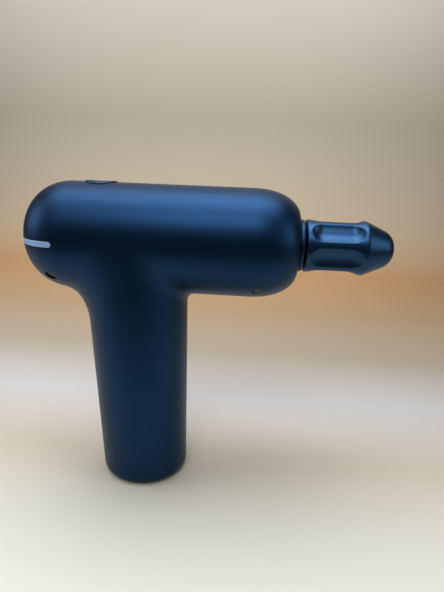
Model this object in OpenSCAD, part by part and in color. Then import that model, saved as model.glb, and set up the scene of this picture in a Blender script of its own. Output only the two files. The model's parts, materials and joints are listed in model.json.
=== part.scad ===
// Cordless massage gun: a round barrel on an upright handle, with a fluted
// massage head that a vertical motor drives to and fro through a slotted yoke.
// Millimetres. The origin is the centre of the foot's flat face, +Z is up and
// +X runs towards the massage head, so the barrel's axis is parallel to X.

/* [Housing] */
// Diameter of the barrel
barrel_d = 50; // [49.6:0.1:52]
// Height of the barrel's axis above the table
axis_h = 121; // [119:0.5:130]
// Reach of the barrel behind the centre of the foot
rear_reach = 55; // [54:0.5:60]
// Reach of the barrel's front face ahead of the centre of the foot
front_reach = 71.5; // [70:0.5:80]
// Length of the curve that closes the rear of the barrel
rear_cap_len = 23; // [20:0.5:26]
// Fullness of the rear curve: 2 is an ellipse, more is squarer
rear_fullness = 2.22; // [2:0.02:2.6]
// Length of the curve that closes the nose
nose_cap_len = 21; // [18:0.5:23]
// Fullness of the nose's curve
nose_fullness = 2.06; // [2:0.02:2.4]
// Radius of the flat face at the nose
face_r = 12.9; // [12.5:0.1:14]
// Radius of the handle at its foot
foot_r = 21.4; // [21.2:0.1:23]
// How far the handle's axis leans back between foot and barrel
handle_lean = 4.4; // [3:0.1:6]
// Depth by which the barrel's sides stand over the handle's
side_step = 0.35; // [0.25:0.05:0.6]
// Rounding of the foot's edge
foot_round = 4; // [3:0.25:5]
// Wall of the moulded housing
wall = 2.2; // [1.9:0.1:2.4]
// Thickness of the housing's floor
floor_t = 2.8; // [2.6:0.1:4]
// Run of the rear blend along the barrel
rear_blend_run = 11; // [9:0.5:13]
// Drop of the rear blend down the handle
rear_blend_drop = 18.5; // [14:0.5:24]
// Size of the small blend in front of the handle
front_blend = 5.5; // [3:0.25:7]

/* [Foot] */
// Diameter of the rubber pad under the foot
pad_d = 33; // [30:0.5:34]
// Thickness of the pad
pad_t = 1.5; // [1.3:0.1:1.8]
// How far the pad stands below the housing
pad_proud = 0.4; // [0.3:0.05:0.6]
// Thickness of the plate that ties the halves together inside the foot
foot_plate_t = 3.5; // [3:0.25:5]
// Thread diameter of the screws in the foot
foot_screw_d = 2.6; // [2:0.1:3]

/* [Controls] */
// Distance of the power button's centre behind the foot's centre
button_back = 20; // [19:0.5:22]
// Diameter of the power button
button_d = 14.4; // [13:0.1:15]
// How far the button stands over the barrel
button_proud = 0.5; // [0.3:0.1:0.8]
// Travel of the button
button_travel = 0.5; // [0.3:0.05:0.6]
// Height of the light bar
light_h = 2.6; // [2:0.1:3.2]
// How far the light bar's middle lies below the barrel's axis
light_drop = 1.5; // [0:0.1:3]
// How far the light bar's ends lie behind the foot's centre
light_end_back = 34.6; // [33.5:0.1:38]
// Thickness of the light bar
light_t = 1.6; // [1.2:0.1:1.8]
// Width of the charging recess
port_w = 11.5; // [11:0.25:13]
// Height of the charging recess
port_h = 6; // [5.6:0.1:6.6]
// Angle of the charging recess below the horizontal
port_angle = 52; // [48:1:56]

/* [Drive] */
// Throw of the crank, half the stroke of the head
crank_throw = 3.5; // [2.5:0.1:3.8]
// Diameter of the motor's rotor can
can_d = 36; // [32:0.5:36.5]
// Diameter of the motor's shaft
shaft_d = 5; // [4.5:0.1:5]
// Diameter of the crank wheel
wheel_d = 26; // [24:0.5:28]
// Thickness of the crank wheel
wheel_t = 4; // [3:0.25:4.5]
// Diameter of the crank pin
pin_d = 4; // [3.5:0.1:4.5]
// Outside diameter of the roller on the crank pin
roller_d = 10; // [9:0.25:11]
// Diameter of the piston rod
rod_d = 14; // [13:0.25:15]
// Wall of the guide bushes
bush_wall = 2; // [1.5:0.1:2.5]
// Wall of the guide's sleeve
sleeve_wall = 2.4; // [2:0.1:2.6]
// Length of each guide bush
bush_len = 10; // [8:0.5:11]
// Thickness of the motor plate
plate_t = 3; // [2.5:0.25:3.5]

/* [Massage head] */
// Diameter of the head's body
head_d = 24; // [23:0.25:26]
// Diameter over the flare in front of the flutes
flare_d = 24.8; // [24.4:0.1:27]
// Distance from the head's back face to the widest part of the flare
flare_at = 26.6; // [26.4:0.2:30]
// Whole length of the head
head_len = 40.4; // [39.5:0.2:46]
// Distance from the head's back face to where the flutes start
flute_from = 2.4; // [1.5:0.1:3]
// Number of flutes round the head
flute_count = 6; // [4:1:8]
// Length of a flute
flute_len = 22.6; // [18:0.2:22.8]
// Width of a flute
flute_w = 9.4; // [6:0.1:9.6]
// Radius of the rounded cutter that hollows a flute
flute_cut_r = 10; // [7:0.5:14]
// Diameter of the head's stem
stem_d = 10; // [9:0.1:10.4]
// Length of the stem inside the piston rod
stem_len = 22; // [18:0.5:24]

/* [Battery] */
// Diameter of a battery cell
cell_d = 18.2; // [18:0.05:18.3]
// Length of a battery cell
cell_len = 65; // [60:0.5:66]

/* [Hidden] */

// Clearances between pieces
seat = 0.05;          // pieces of one body that sit in each other
run_fit = 0.04;       // radial play of a shaft or piston in its bush
loose_fit = 0.3;      // pieces that pass without touching
eps = 0.01;           // overrun of a cut past the face it opens
beyond = 150;         // side of a block that is larger than the object

colour_shell = [0.07, 0.13, 0.20];
colour_dark = [0.04, 0.05, 0.07];
colour_board = [0.05, 0.30, 0.16];
colour_steel = [0.66, 0.67, 0.69];
colour_alloy = [0.78, 0.79, 0.80];
colour_copper = [0.75, 0.42, 0.22];

barrel_r = barrel_d / 2;
rear_x = -rear_reach;
rear_mid_x = rear_x + rear_cap_len;
nose_mid_x = front_reach - nose_cap_len;
handle_top_r = barrel_r - side_step;
cap_steps = 14;

// Radius and centre of the handle at a height
function handle_r(z) = foot_r + (handle_top_r - foot_r) * z / axis_h;
function handle_x(z) = -handle_lean * z / axis_h;

// Radius of the barrel behind the place where its rear curve starts
function barrel_r_at(x) = x >= rear_mid_x ? barrel_r
    : barrel_r * pow(1 - pow((rear_mid_x - x) / rear_cap_len, rear_fullness), 1 / rear_fullness);

// Outlines as [radius, place along the barrel], moved inwards by t: both end
// curves are superellipses, walked by their angle
function rear_curve(t) = [for (i = [0 : cap_steps]) let (q = 90 * i / cap_steps)
    [(barrel_r - t) * pow(sin(q), 2 / rear_fullness),
     rear_mid_x - (rear_cap_len - t) * pow(cos(q), 2 / rear_fullness)]];
function nose_curve(t) = [for (i = [0 : cap_steps]) let (q = 90 * i / cap_steps, r0 = face_r - t / 2)
    [r0 + (barrel_r - t - r0) * pow(cos(q), 2 / nose_fullness),
     nose_mid_x + (nose_cap_len - t) * pow(sin(q), 2 / nose_fullness)]];

module along_x() {
    rotate([0, 90, 0]) children();
}

module at_axis(x) {
    translate([x, 0, axis_h]) along_x() children();
}

module ring(outer, inner, h, fn = 64) {
    difference() {
        cylinder(h = h, r = outer, $fn = fn);
        translate([0, 0, -1]) cylinder(h = h + 2, r = inner, $fn = fn);
    }
}

// ---------------------------------------------------------------- housing

module barrel_form(t) {
    translate([0, 0, axis_h]) along_x() rotate_extrude($fn = 96)
        polygon(concat(rear_curve(t), nose_curve(t), [[0, front_reach - t]]));
}

// The handle is a leaning cone, cut at the foot by a bowl that rounds its edge
lean_angle = atan(handle_lean / axis_h);

module handle_cone(t) {
    slant = axis_h / cos(lean_angle);
    rotate([0, -lean_angle, 0]) cylinder(h = slant, r1 = foot_r - t, r2 = handle_top_r - t, $fn = 96);
}

function bowl_outline(z0, edge_r, round_r) = concat([[0, z0]],
    [for (q = [0 : 12 : 84]) [edge_r - round_r + round_r * sin(q), z0 + round_r * (1 - cos(q))]],
    [[edge_r + 14, axis_h + 1], [0, axis_h + 1]]);

module handle_form(t, z0, round_r) {
    intersection() {
        handle_cone(t);
        rotate_extrude($fn = 96) polygon(bowl_outline(z0, handle_r(z0) - t, round_r));
    }
}

// The blends behind and in front of the handle are built from upright sections
// at stations across the barrel. Each section is a quadratic curve, tangent to
// the handle below and to the barrel's underside above, sunk a little at its ends.
blend_sink = 0.25;
blend_stations = 16;
blend_steps = 9;
blend_half_w = 0.86 * barrel_r;

function under_z(x, y) = axis_h - sqrt(pow(barrel_r_at(x), 2) - y * y);
function side_x(z, y, s) = handle_x(z) + s * sqrt(pow(handle_r(z), 2) - y * y);
function quad(a, b, c, t) = a * (1 - t) * (1 - t) + b * 2 * t * (1 - t) + c * t * t;

function blend_section(y, s, run, drop) = let (
    w = max(0.02, sqrt(max(0, 1 - pow(y / blend_half_w, 2)))),
    corner_z = under_z(0, y),
    low_z = corner_z - drop * w,
    far_x = side_x(corner_z, y, s) + s * run * w,
    far_z = under_z(far_x, y),
    slope = (under_z(far_x + 0.1, y) - under_z(far_x - 0.1, y)) / 0.2,
    mid_x = side_x(corner_z, y, s),
    mid_z = far_z + slope * (mid_x - far_x),
    p0 = [side_x(low_z, y, s), low_z],
    p1 = [side_x(mid_z, y, s), mid_z],
    p2 = [far_x, far_z],
    sink = [-s * blend_sink, blend_sink])
    concat([for (i = [0 : blend_steps]) quad(p0, p1, p2, i / blend_steps) + sink],
        [p2 + sink + [0, 5], [p0[0] - s * 6, far_z + 5], p0 + sink + [-s * 6, 0]]);

module blend_solid(s, run, drop) {
    sections = [for (k = [-blend_stations : blend_stations])
        let (y = blend_half_w * sin(90 * k / blend_stations))
        [for (p = blend_section(y, s, run, drop)) [p[0], y, p[1]]]];
    n = len(sections[0]);
    rows = len(sections);
    points = [for (row = sections) each row];
    sides = [for (r = [0 : rows - 2], i = [0 : n - 1]) let (
            a = r * n + i,
            b = r * n + (i + 1) % n,
            c = b + n,
            d = a + n)
        each (s > 0 ? [[a, b, c], [a, c, d]] : [[c, b, a], [d, c, a]])];
    first = [for (i = [0 : n - 1]) i];
    last = [for (i = [0 : n - 1]) (rows - 1) * n + n - 1 - i];
    ends = s > 0 ? [[for (i = [n - 1 : -1 : 0]) first[i]], [for (i = [n - 1 : -1 : 0]) last[i]]] : [first, last];
    polyhedron(points = points, faces = concat(sides, ends), convexity = 6);
}

module outer_form() {
    union() {
        barrel_form(0);
        handle_form(0, pad_proud, foot_round);
        blend_solid(-1, rear_blend_run, rear_blend_drop);
        blend_solid(1, front_blend, front_blend);
    }
}

// Bosses, ledges and pins that stay standing in the hollow of the shells
board_screw_d = 2;
boss_r = 2.6;
board_drop = 11;
board_z = axis_h + barrel_r - board_drop;
board_t = 1.6;
board_x0 = -button_back - 20;
board_x1 = -button_back + 16;
board_w = 26;
board_screw_places = [for (x = [board_x0 + 4, board_x1 - 4], y = [-9, 9]) [x, y]];

plate_top = axis_h - 12;
plate_z = plate_top - plate_t;
plate_r = handle_r(plate_z) - wall - 0.25;
motor_x = handle_x(plate_z);
ledge_t = 2;
ledge_w = 2;
ledge_run = 20;

module plate_ledge(z) {
    translate([motor_x, 0, z]) intersection() {
        ring(plate_r + 4, plate_r - ledge_w, ledge_t, 96);
        translate([-ledge_run / 2, -40, -1]) cube([ledge_run, 80, ledge_t + 2]);
    }
}

// Ribs round the handle's wall that steady the battery cells
rib_count = 3;
rib_h = 0.9;
rib_t = 1.4;
rib_from = 22;
rib_pitch = 17;

module cell_ribs() {
    for (k = [0 : rib_count - 1]) let (z = rib_from + k * rib_pitch, r = handle_r(z) - wall)
        translate([handle_x(z), 0, z]) ring(r + 1, r - rib_h, rib_t, 96);
}

module standing_parts() {
    cell_ribs();
    for (p = board_screw_places)
        translate([p[0], p[1], board_z + board_t]) cylinder(h = barrel_r, r = boss_r, $fn = 32);
    plate_ledge(plate_z - ledge_t);
    plate_ledge(plate_top);
}

module hollow() {
    difference() {
        union() {
            barrel_form(wall);
            handle_form(wall, pad_proud + floor_t, foot_round / 2);
        }
        standing_parts();
    }
}

// Openings in the shells
nose_bore_r = 10.6;
button_x = -button_back;
button_hole_r = button_d / 2 + loose_fit;

light_z = axis_h - light_drop;
light_end_x = -light_end_back;

// Slot seen from the side: a round end, then straight back past the barrel
module light_band(gap) {
    r = light_h / 2 + gap;
    translate([0, barrel_r + 1, light_z]) rotate([90, 0, 0]) linear_extrude(2 * barrel_r + 2) union() {
        translate([light_end_x - light_h / 2, 0]) circle(r = r, $fn = 32);
        translate([rear_x - 5, -r]) square([light_end_x - light_h / 2 - rear_x + 5, 2 * r]);
    }
}

// The charging recess opens square to the rear curve, low on the middle plane.
// The superellipse's angle there follows from the direction of its normal.
port_q = atan(pow(tan(port_angle) * barrel_r / rear_cap_len, 1 / (2 - 2 / rear_fullness)));
port_x = rear_mid_x - rear_cap_len * pow(cos(port_q), 2 / rear_fullness);
port_z = axis_h - barrel_r * pow(sin(port_q), 2 / rear_fullness);

module at_port() {
    translate([port_x, 0, port_z]) rotate([0, 270 - port_angle, 0]) children();
}

module stadium(w, h, depth) {
    linear_extrude(depth) union() {
        square([h, w - h], center = true);
        for (s = [-1, 1]) translate([0, s * (w - h) / 2]) circle(d = h, $fn = 32);
    }
}

// Screws that hold each half to the guide block lie 50 degrees below the equator
nose_screw_angle = 50;
nose_screw_x = front_reach - 17.8;
nose_plug_d = 4.6;
nose_plug_t = 1;
nose_screw_d = 2.2;
nose_head_d = 4;
nose_head_t = 1;

module at_nose_screw(s) {
    translate([nose_screw_x, 0, axis_h]) rotate([0, 0, s > 0 ? 180 : 0])
        rotate([90 + nose_screw_angle, 0, 0]) translate([0, 0, barrel_r]) children();
}

foot_screw_y = 10;
foot_head_d = 5;
foot_head_t = 1.3;
floor_top = pad_proud + floor_t;

module foot_screw_form(gap) {
    for (s = [-1, 1]) translate([0, s * foot_screw_y, pad_t]) {
        translate([0, 0, -gap]) cylinder(h = foot_head_t + gap, r1 = foot_head_d / 2 + gap, r2 = foot_screw_d / 2 + gap, $fn = 32);
        translate([0, 0, -gap]) cylinder(h = 4.6 + gap, r = foot_screw_d / 2 + gap, $fn = 32);
    }
}

module openings() {
    at_axis(front_reach - wall - 2) cylinder(h = wall + 3, r = nose_bore_r, $fn = 64);
    translate([button_x, 0, axis_h + barrel_r / 2]) cylinder(h = barrel_r, r = button_hole_r, $fn = 64);
    light_band(0);
    at_port() translate([0, 0, -wall - 4]) stadium(port_w, port_h, wall + 8);
    for (s = [-1, 1]) at_nose_screw(s) {
        translate([0, 0, -nose_plug_t - nose_head_t]) cylinder(h = 4, r = nose_plug_d / 2, $fn = 32);
        translate([0, 0, -wall - 1]) cylinder(h = wall + 1, r = nose_screw_d / 2 + seat, $fn = 32);
    }
    translate([0, 0, -1]) cylinder(h = 1 + pad_t, r = pad_d / 2 + seat, $fn = 64);
    foot_screw_form(seat);
}

module shell_half(s) {
    color(colour_shell) difference() {
        intersection() {
            outer_form();
            translate([-beyond, s > 0 ? 0 : -beyond, -1]) cube([2 * beyond, beyond, 2 * beyond]);
        }
        hollow();
        openings();
    }
}

module right_shell() {
    shell_half(-1);
}

module left_shell() {
    shell_half(1);
}

// Trim ring in the nose: a sleeve in the shells' bore, a groove and a flange
ring_gap = 0.5;
ring_t = 1.6;
ring_r = head_d / 2 - 0.1;
ring_bore_r = rod_d / 2 + 0.8;
sleeve_end_x = front_reach - wall - 2;

module nose_ring() {
    color(colour_dark) translate([0, 0, axis_h]) along_x() rotate_extrude($fn = 96) polygon([
        [ring_bore_r, sleeve_end_x],
        [nose_bore_r - seat, sleeve_end_x],
        [nose_bore_r - seat, front_reach + ring_gap],
        [ring_r, front_reach + ring_gap],
        [ring_r, front_reach + ring_gap + ring_t - 0.3],
        [ring_r - 0.3, front_reach + ring_gap + ring_t],
        [ring_bore_r, front_reach + ring_gap + ring_t]]);
}

// Rubber wiper between the guide and the trim ring
wiper_len = 2;

module wiper_seal() {
    color(colour_dark) at_axis(sleeve_end_x - wiper_len) ring(nose_bore_r, rod_d / 2 + 0.1, wiper_len, 64);
}

module light_bar() {
    color([0.80, 0.88, 0.95]) intersection() {
        difference() {
            barrel_form(seat);
            barrel_form(light_t);
        }
        light_band(-seat);
    }
}

// Curved board that holds the lamps behind the bar
led_gap = 0.6;
led_t = 0.8;
led_h = 7;

module led_board() {
    color(colour_board) intersection() {
        difference() {
            barrel_form(wall + seat);
            barrel_form(wall + led_t);
        }
        translate([rear_x, -barrel_r, light_z - led_h / 2])
            cube([rear_cap_len - 6, 2 * barrel_r, led_h]);
    }
}

// ---------------------------------------------------------------- charging

usb_w = 8.9;
usb_h = 3.2;
usb_wall = 0.3;
usb_depth = 7.5;
bezel_sunk = 0.8;

module charge_bezel() {
    color(colour_dark) at_port() translate([0, 0, -bezel_sunk - 2.4]) difference() {
        stadium(port_w - 2 * seat, port_h - 2 * seat, 2.4);
        translate([0, 0, -1]) stadium(usb_w + 2 * seat, usb_h + 2 * seat, 5);
    }
}

module charge_socket() {
    color(colour_steel) at_port() translate([0, 0, -bezel_sunk - usb_depth]) difference() {
        stadium(usb_w, usb_h, usb_depth);
        translate([0, 0, 0.5]) stadium(usb_w - 2 * usb_wall, usb_h - 2 * usb_wall, usb_depth);
    }
}

module charge_tongue() {
    color(colour_dark) at_port() translate([-0.35, -3.3, -bezel_sunk - usb_depth + 0.5]) cube([0.7, 6.6, usb_depth - 1.5]);
}

module charge_board() {
    color(colour_board) at_port() translate([-usb_h / 2 - 1, -7.5, -bezel_sunk - 13]) cube([1, 15, 10]);
}

// ---------------------------------------------------------------- foot

module foot_pad() {
    color(colour_dark) cylinder(h = pad_t, r = pad_d / 2, $fn = 64);
}

foot_plate_r = handle_r(floor_top) - wall - foot_round / 2 - 0.5;

module foot_plate() {
    color([0.75, 0.75, 0.72]) difference() {
        translate([0, 0, floor_top]) cylinder(h = foot_plate_t, r = foot_plate_r, $fn = 64);
        foot_screw_form(seat);
    }
}

module foot_screws() {
    color(colour_steel) difference() {
        foot_screw_form(0);
        for (s = [-1, 1]) translate([0, s * foot_screw_y, pad_t - 1]) cylinder(h = 1.7, d = 1.5, $fn = 6);
    }
}

module screw_plugs() {
    color(colour_dark) for (s = [-1, 1]) at_nose_screw(s)
        translate([0, 0, -nose_plug_t]) cylinder(h = nose_plug_t - 0.25, r = nose_plug_d / 2 - seat, $fn = 32);
}

flange_x = nose_screw_x - 3;
flange_len = 6;
flange_r = barrel_r - wall - 0.35;
nose_screw_len = 7;

module nose_screws() {
    color(colour_steel) for (s = [-1, 1]) at_nose_screw(s) translate([0, 0, -nose_plug_t - nose_head_t]) difference() {
        union() {
            cylinder(h = nose_head_t, r = nose_head_d / 2, $fn = 32);
            translate([0, 0, -nose_screw_len]) cylinder(h = nose_screw_len + 0.1, r = nose_screw_d / 2, $fn = 32);
        }
        translate([0, 0, 0.3]) cylinder(h = 2, d = 1.3, $fn = 6);
    }
}

// ---------------------------------------------------------------- guide

yoke_half = roller_d / 2 + 0.85 + 3.4;
pin_x = motor_x - crank_throw;
yoke_front_x = pin_x + yoke_half;
stroke = 2 * crank_throw;
guide_x = yoke_front_x + stroke + 1.5;
guide_end_x = sleeve_end_x - wiper_len;
sleeve_r = rod_d / 2 + bush_wall + sleeve_wall;
bush_r = rod_d / 2 + bush_wall;
guide_foot_x = guide_x + 3;
guide_foot_len = 14;
guide_foot_w = 18;
lighten_count = 6;

module guide_block() {
    color(colour_alloy) difference() {
        union() {
            at_axis(guide_x) cylinder(h = guide_end_x - guide_x, r = sleeve_r, $fn = 64);
            intersection() {
                at_axis(flange_x) cylinder(h = flange_len, r = flange_r, $fn = 96);
                barrel_form(wall + 0.3);
            }
            translate([guide_foot_x, -guide_foot_w / 2, plate_top])
                cube([guide_foot_len, guide_foot_w, 12 - sleeve_r / 2]);
        }
        at_axis(guide_x - 1) cylinder(h = bush_len + 1, r = bush_r + seat, $fn = 64);
        at_axis(guide_end_x - bush_len) cylinder(h = bush_len + 1, r = bush_r + seat, $fn = 64);
        at_axis(guide_x) cylinder(h = guide_end_x - guide_x, r = rod_d / 2 + 1, $fn = 64);
        for (k = [0 : lighten_count - 1]) if (k % 3 != 1) at_axis(flange_x - 1)
            rotate([0, 0, 360 * k / lighten_count]) translate([(sleeve_r + flange_r) / 2, 0, 0])
                cylinder(h = flange_len + 2, r = (flange_r - sleeve_r) / 2 - 1.4, $fn = 32);
        for (s = [-1, 1]) at_nose_screw(s) translate([0, 0, -nose_plug_t - nose_head_t - nose_screw_len - 0.2])
            cylinder(h = nose_screw_len + 4, r = nose_screw_d / 2 + seat, $fn = 32);
        guide_screw_form(seat);
    }
}

module guide_bushes() {
    color([0.72, 0.55, 0.28]) for (x = [guide_x, guide_end_x - bush_len])
        at_axis(x) ring(bush_r, rod_d / 2 + run_fit, bush_len, 64);
}

guide_screw_d = 2.5;
guide_screw_y = 6;

module guide_screw_form(gap) {
    for (s = [-1, 1]) translate([guide_foot_x + guide_foot_len / 2, s * guide_screw_y, plate_z])
        cylinder(h = plate_t + 4.5, r = guide_screw_d / 2 + gap, $fn = 32);
}

module guide_screws() {
    color(colour_steel) difference() {
        union() {
            guide_screw_form(0);
            for (s = [-1, 1]) translate([guide_foot_x + guide_foot_len / 2, s * guide_screw_y, plate_z - 1.6])
                cylinder(h = 1.6, r = 2.3, $fn = 32);
        }
        for (s = [-1, 1]) translate([guide_foot_x + guide_foot_len / 2, s * guide_screw_y, plate_z - 2])
            cylinder(h = 1.4, d = 1.6, $fn = 6);
    }
}

// ---------------------------------------------------------------- motor

motor_screw_pcd = 20;
motor_screw_d = 2;
base_t = 2.5;
base_r = 14;
tube_r = 6.5;
bearing_r = 5;
bearing_w = 4;
base_z = plate_z - base_t;
can_top = base_z - 1.5;
can_h = 17;
can_z = can_top - can_h;
can_t = 1.5;
can_wall = 1.5;
stator_r = 13.8;
stator_h = 9;
stator_z = can_z + can_t + 3.2;
tube_z = can_z + can_t + 0.6;
lower_bearing_z = tube_z + 0.2;
upper_bearing_z = plate_z - bearing_w - 0.2;
wheel_z = plate_top + 1;
notch_w = 14;
notch_from = can_d / 2 - 2;

module motor_plate() {
    color(colour_alloy) difference() {
        union() {
            translate([motor_x, 0, plate_z]) cylinder(h = plate_t, r = plate_r, $fn = 96);
            translate([motor_x, -guide_foot_w / 2 - 1, plate_z])
                cube([guide_foot_x + guide_foot_len + 1 - motor_x, guide_foot_w + 2, plate_t]);
        }
        translate([motor_x, 0, plate_z - 1]) cylinder(h = plate_t + 2, r = bearing_r + 0.5, $fn = 64);
        translate([motor_x - plate_r - 1, -notch_w / 2, plate_z - 1])
            cube([plate_r + 1 - notch_from, notch_w, plate_t + 2]);
        for (a = [60, 180, 300]) translate([motor_x, 0, 0]) rotate([0, 0, a]) translate([motor_screw_pcd / 2, 0, 0]) {
            translate([0, 0, plate_z - 1]) cylinder(h = plate_t + 2, r = motor_screw_d / 2 + seat, $fn = 32);
            translate([0, 0, plate_top - 1.2]) cylinder(h = 1.3, r1 = motor_screw_d / 2 + seat, r2 = 2.2, $fn = 32);
        }
        guide_screw_form(seat);
    }
}

module motor_screws() {
    color(colour_steel) for (a = [60, 180, 300])
        translate([motor_x, 0, 0]) rotate([0, 0, a]) translate([motor_screw_pcd / 2, 0, 0]) difference() {
            union() {
                translate([0, 0, base_z + 0.3]) cylinder(h = plate_t + base_t - 0.4, r = motor_screw_d / 2, $fn = 32);
                translate([0, 0, plate_top - 1.2]) cylinder(h = 1.1, r1 = motor_screw_d / 2, r2 = 2, $fn = 32);
            }
            translate([0, 0, plate_top - 0.9]) cylinder(h = 2, d = 1.3, $fn = 6);
        }
}

module motor_base() {
    color(colour_alloy) translate([motor_x, 0, 0]) difference() {
        union() {
            translate([0, 0, base_z]) cylinder(h = base_t, r = base_r, $fn = 64);
            translate([0, 0, tube_z]) cylinder(h = plate_z - tube_z, r = tube_r, $fn = 64);
        }
        translate([0, 0, tube_z - 1]) cylinder(h = plate_z - tube_z + 2, r = shaft_d / 2 + 1.2, $fn = 64);
        translate([0, 0, tube_z - 1]) cylinder(h = lower_bearing_z + bearing_w - tube_z + 1, r = bearing_r, $fn = 64);
        translate([0, 0, upper_bearing_z]) cylinder(h = bearing_w + 2, r = bearing_r, $fn = 64);
        for (a = [60, 180, 300]) rotate([0, 0, a]) translate([motor_screw_pcd / 2, 0, base_z - 1])
            cylinder(h = base_t + 2, r = motor_screw_d / 2 + seat, $fn = 32);
    }
}

// Nine-slot lamination stack: a hub, nine teeth and their shoes
slot_count = 9;
shoe_t = 1.3;

module stator_core() {
    color([0.42, 0.43, 0.45]) translate([motor_x, 0, stator_z]) difference() {
        union() {
            cylinder(h = stator_h, r = tube_r + 2.2, $fn = 64);
            ring(stator_r, stator_r - shoe_t, stator_h, 96);
            for (k = [0 : slot_count - 1]) rotate([0, 0, 360 * k / slot_count])
                translate([tube_r + 1, -1.1, 0]) cube([stator_r - shoe_t - tube_r - 0.5, 2.2, stator_h]);
        }
        for (k = [0 : slot_count - 1]) rotate([0, 0, 360 * (k + 0.5) / slot_count])
            translate([stator_r - shoe_t - 1, -0.8, -1]) cube([shoe_t + 2, 1.6, stator_h + 2]);
        translate([0, 0, -1]) cylinder(h = stator_h + 2, r = tube_r + seat, $fn = 64);
    }
}

// Each tooth carries a coil, drawn as a copper block round the tooth
module stator_windings() {
    color(colour_copper) translate([motor_x, 0, stator_z]) for (k = [0 : slot_count - 1])
        rotate([0, 0, 360 * k / slot_count]) difference() {
            translate([tube_r + 2.6, -2.05, -1.4]) cube([stator_r - tube_r - 4.2, 4.1, stator_h + 2.8]);
            translate([tube_r, -1.15, -0.05]) cube([stator_r, 2.3, stator_h + 0.1]);
        }
}

ball_count = 7;
ball_r = 0.8;
race_r = (bearing_r + shaft_d / 2) / 2;
inner_race_r = race_r - 0.55;
outer_race_r = race_r + 0.55;

module at_bearings() {
    for (z = [lower_bearing_z, upper_bearing_z]) translate([motor_x, 0, z]) children();
}

// Ball bearings: two rings with a rolled groove and seven balls each
module bearing_outer_rings() {
    color(colour_steel) at_bearings() difference() {
        ring(bearing_r, outer_race_r, bearing_w, 64);
        translate([0, 0, bearing_w / 2]) rotate_extrude($fn = 64) translate([race_r, 0]) circle(r = ball_r + 0.05, $fn = 32);
    }
}

module bearing_inner_rings() {
    color(colour_steel) at_bearings() difference() {
        ring(inner_race_r, shaft_d / 2, bearing_w, 64);
        translate([0, 0, bearing_w / 2]) rotate_extrude($fn = 64) translate([race_r, 0]) circle(r = ball_r + 0.05, $fn = 32);
    }
}

module bearing_balls() {
    color(colour_steel) at_bearings() for (k = [0 : ball_count - 1])
        rotate([0, 0, 360 * k / ball_count]) translate([race_r, 0, bearing_w / 2]) sphere(r = ball_r, $fn = 24);
}

module rotor_can() {
    color(colour_steel) translate([motor_x, 0, can_z]) difference() {
        cylinder(h = can_h, r = can_d / 2, $fn = 96);
        translate([0, 0, can_t]) cylinder(h = can_h, r = can_d / 2 - can_wall, $fn = 96);
        translate([0, 0, -1]) cylinder(h = can_t + 2, r = shaft_d / 2, $fn = 64);
        for (k = [0 : 5]) rotate([0, 0, 60 * k + 30]) translate([10, 0, -1]) cylinder(h = can_t + 2, r = 2.6, $fn = 32);
    }
}

magnet_count = 12;
magnet_t = 2;

module rotor_magnets() {
    color([0.35, 0.35, 0.38]) translate([motor_x, 0, can_z + can_t + 2.4]) difference() {
        ring(can_d / 2 - can_wall, can_d / 2 - can_wall - magnet_t, stator_h + 1.6, 96);
        for (k = [0 : magnet_count - 1]) rotate([0, 0, 360 * (k + 0.5) / magnet_count])
            translate([can_d / 2 - can_wall - magnet_t - 1, -0.25, -1]) cube([magnet_t + 2, 0.5, stator_h + 4]);
    }
}

module motor_shaft() {
    color(colour_steel) translate([motor_x, 0, can_z - 0.5])
        cylinder(h = wheel_z + wheel_t - pin_seat - 0.1 - can_z + 0.5, r = shaft_d / 2, $fn = 64);
}

// The crank wheel's counterweight fills the half away from the pin
module crank_wheel() {
    color([0.58, 0.50, 0.34]) translate([motor_x, 0, wheel_z]) difference() {
        cylinder(h = wheel_t, r = wheel_d / 2, $fn = 96);
        translate([0, 0, -1]) cylinder(h = wheel_t - pin_seat + 1, r = shaft_d / 2, $fn = 64);
        for (a = [130, 180, 230]) rotate([0, 0, a]) translate([wheel_d / 2 - 3.4, 0, -1])
            cylinder(h = wheel_t + 2, r = 2.4, $fn = 32);
        translate([-crank_throw, 0, wheel_t - pin_seat]) cylinder(h = 5, r = pin_d / 2, $fn = 48);
    }
}

yoke_t = 9;
roller_w = 6;
roller_z = axis_h - roller_w / 2;
pin_seat = 1.5;

module crank_pin() {
    wheel_top = wheel_z + wheel_t;
    color(colour_steel) translate([pin_x, 0, wheel_top]) union() {
        translate([0, 0, -pin_seat]) cylinder(h = roller_z + roller_w - wheel_top + pin_seat + 0.1, r = pin_d / 2, $fn = 48);
        cylinder(h = roller_z - wheel_top - 0.1, r = pin_d / 2 + 1, $fn = 48);
        translate([0, 0, roller_z + roller_w + 0.1 - wheel_top]) cylinder(h = 0.8, r = pin_d / 2 + 0.8, $fn = 48);
    }
}

module yoke_roller() {
    color(colour_steel) translate([pin_x, 0, roller_z]) ring(roller_d / 2, pin_d / 2 + run_fit, roller_w, 64);
}

// ---------------------------------------------------------------- piston

yoke_slot_half = roller_d / 2 + 0.85;
yoke_slot_y = roller_d / 2 + crank_throw + 0.8;
yoke_y = yoke_slot_y + 3;
yoke_boss_len = 4;

module yoke_pin_form(half, gap) {
    translate([yoke_front_x + yoke_boss_len / 2, 0, axis_h - half]) cylinder(h = 2 * half, r = 1 + gap, $fn = 24);
}

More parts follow.
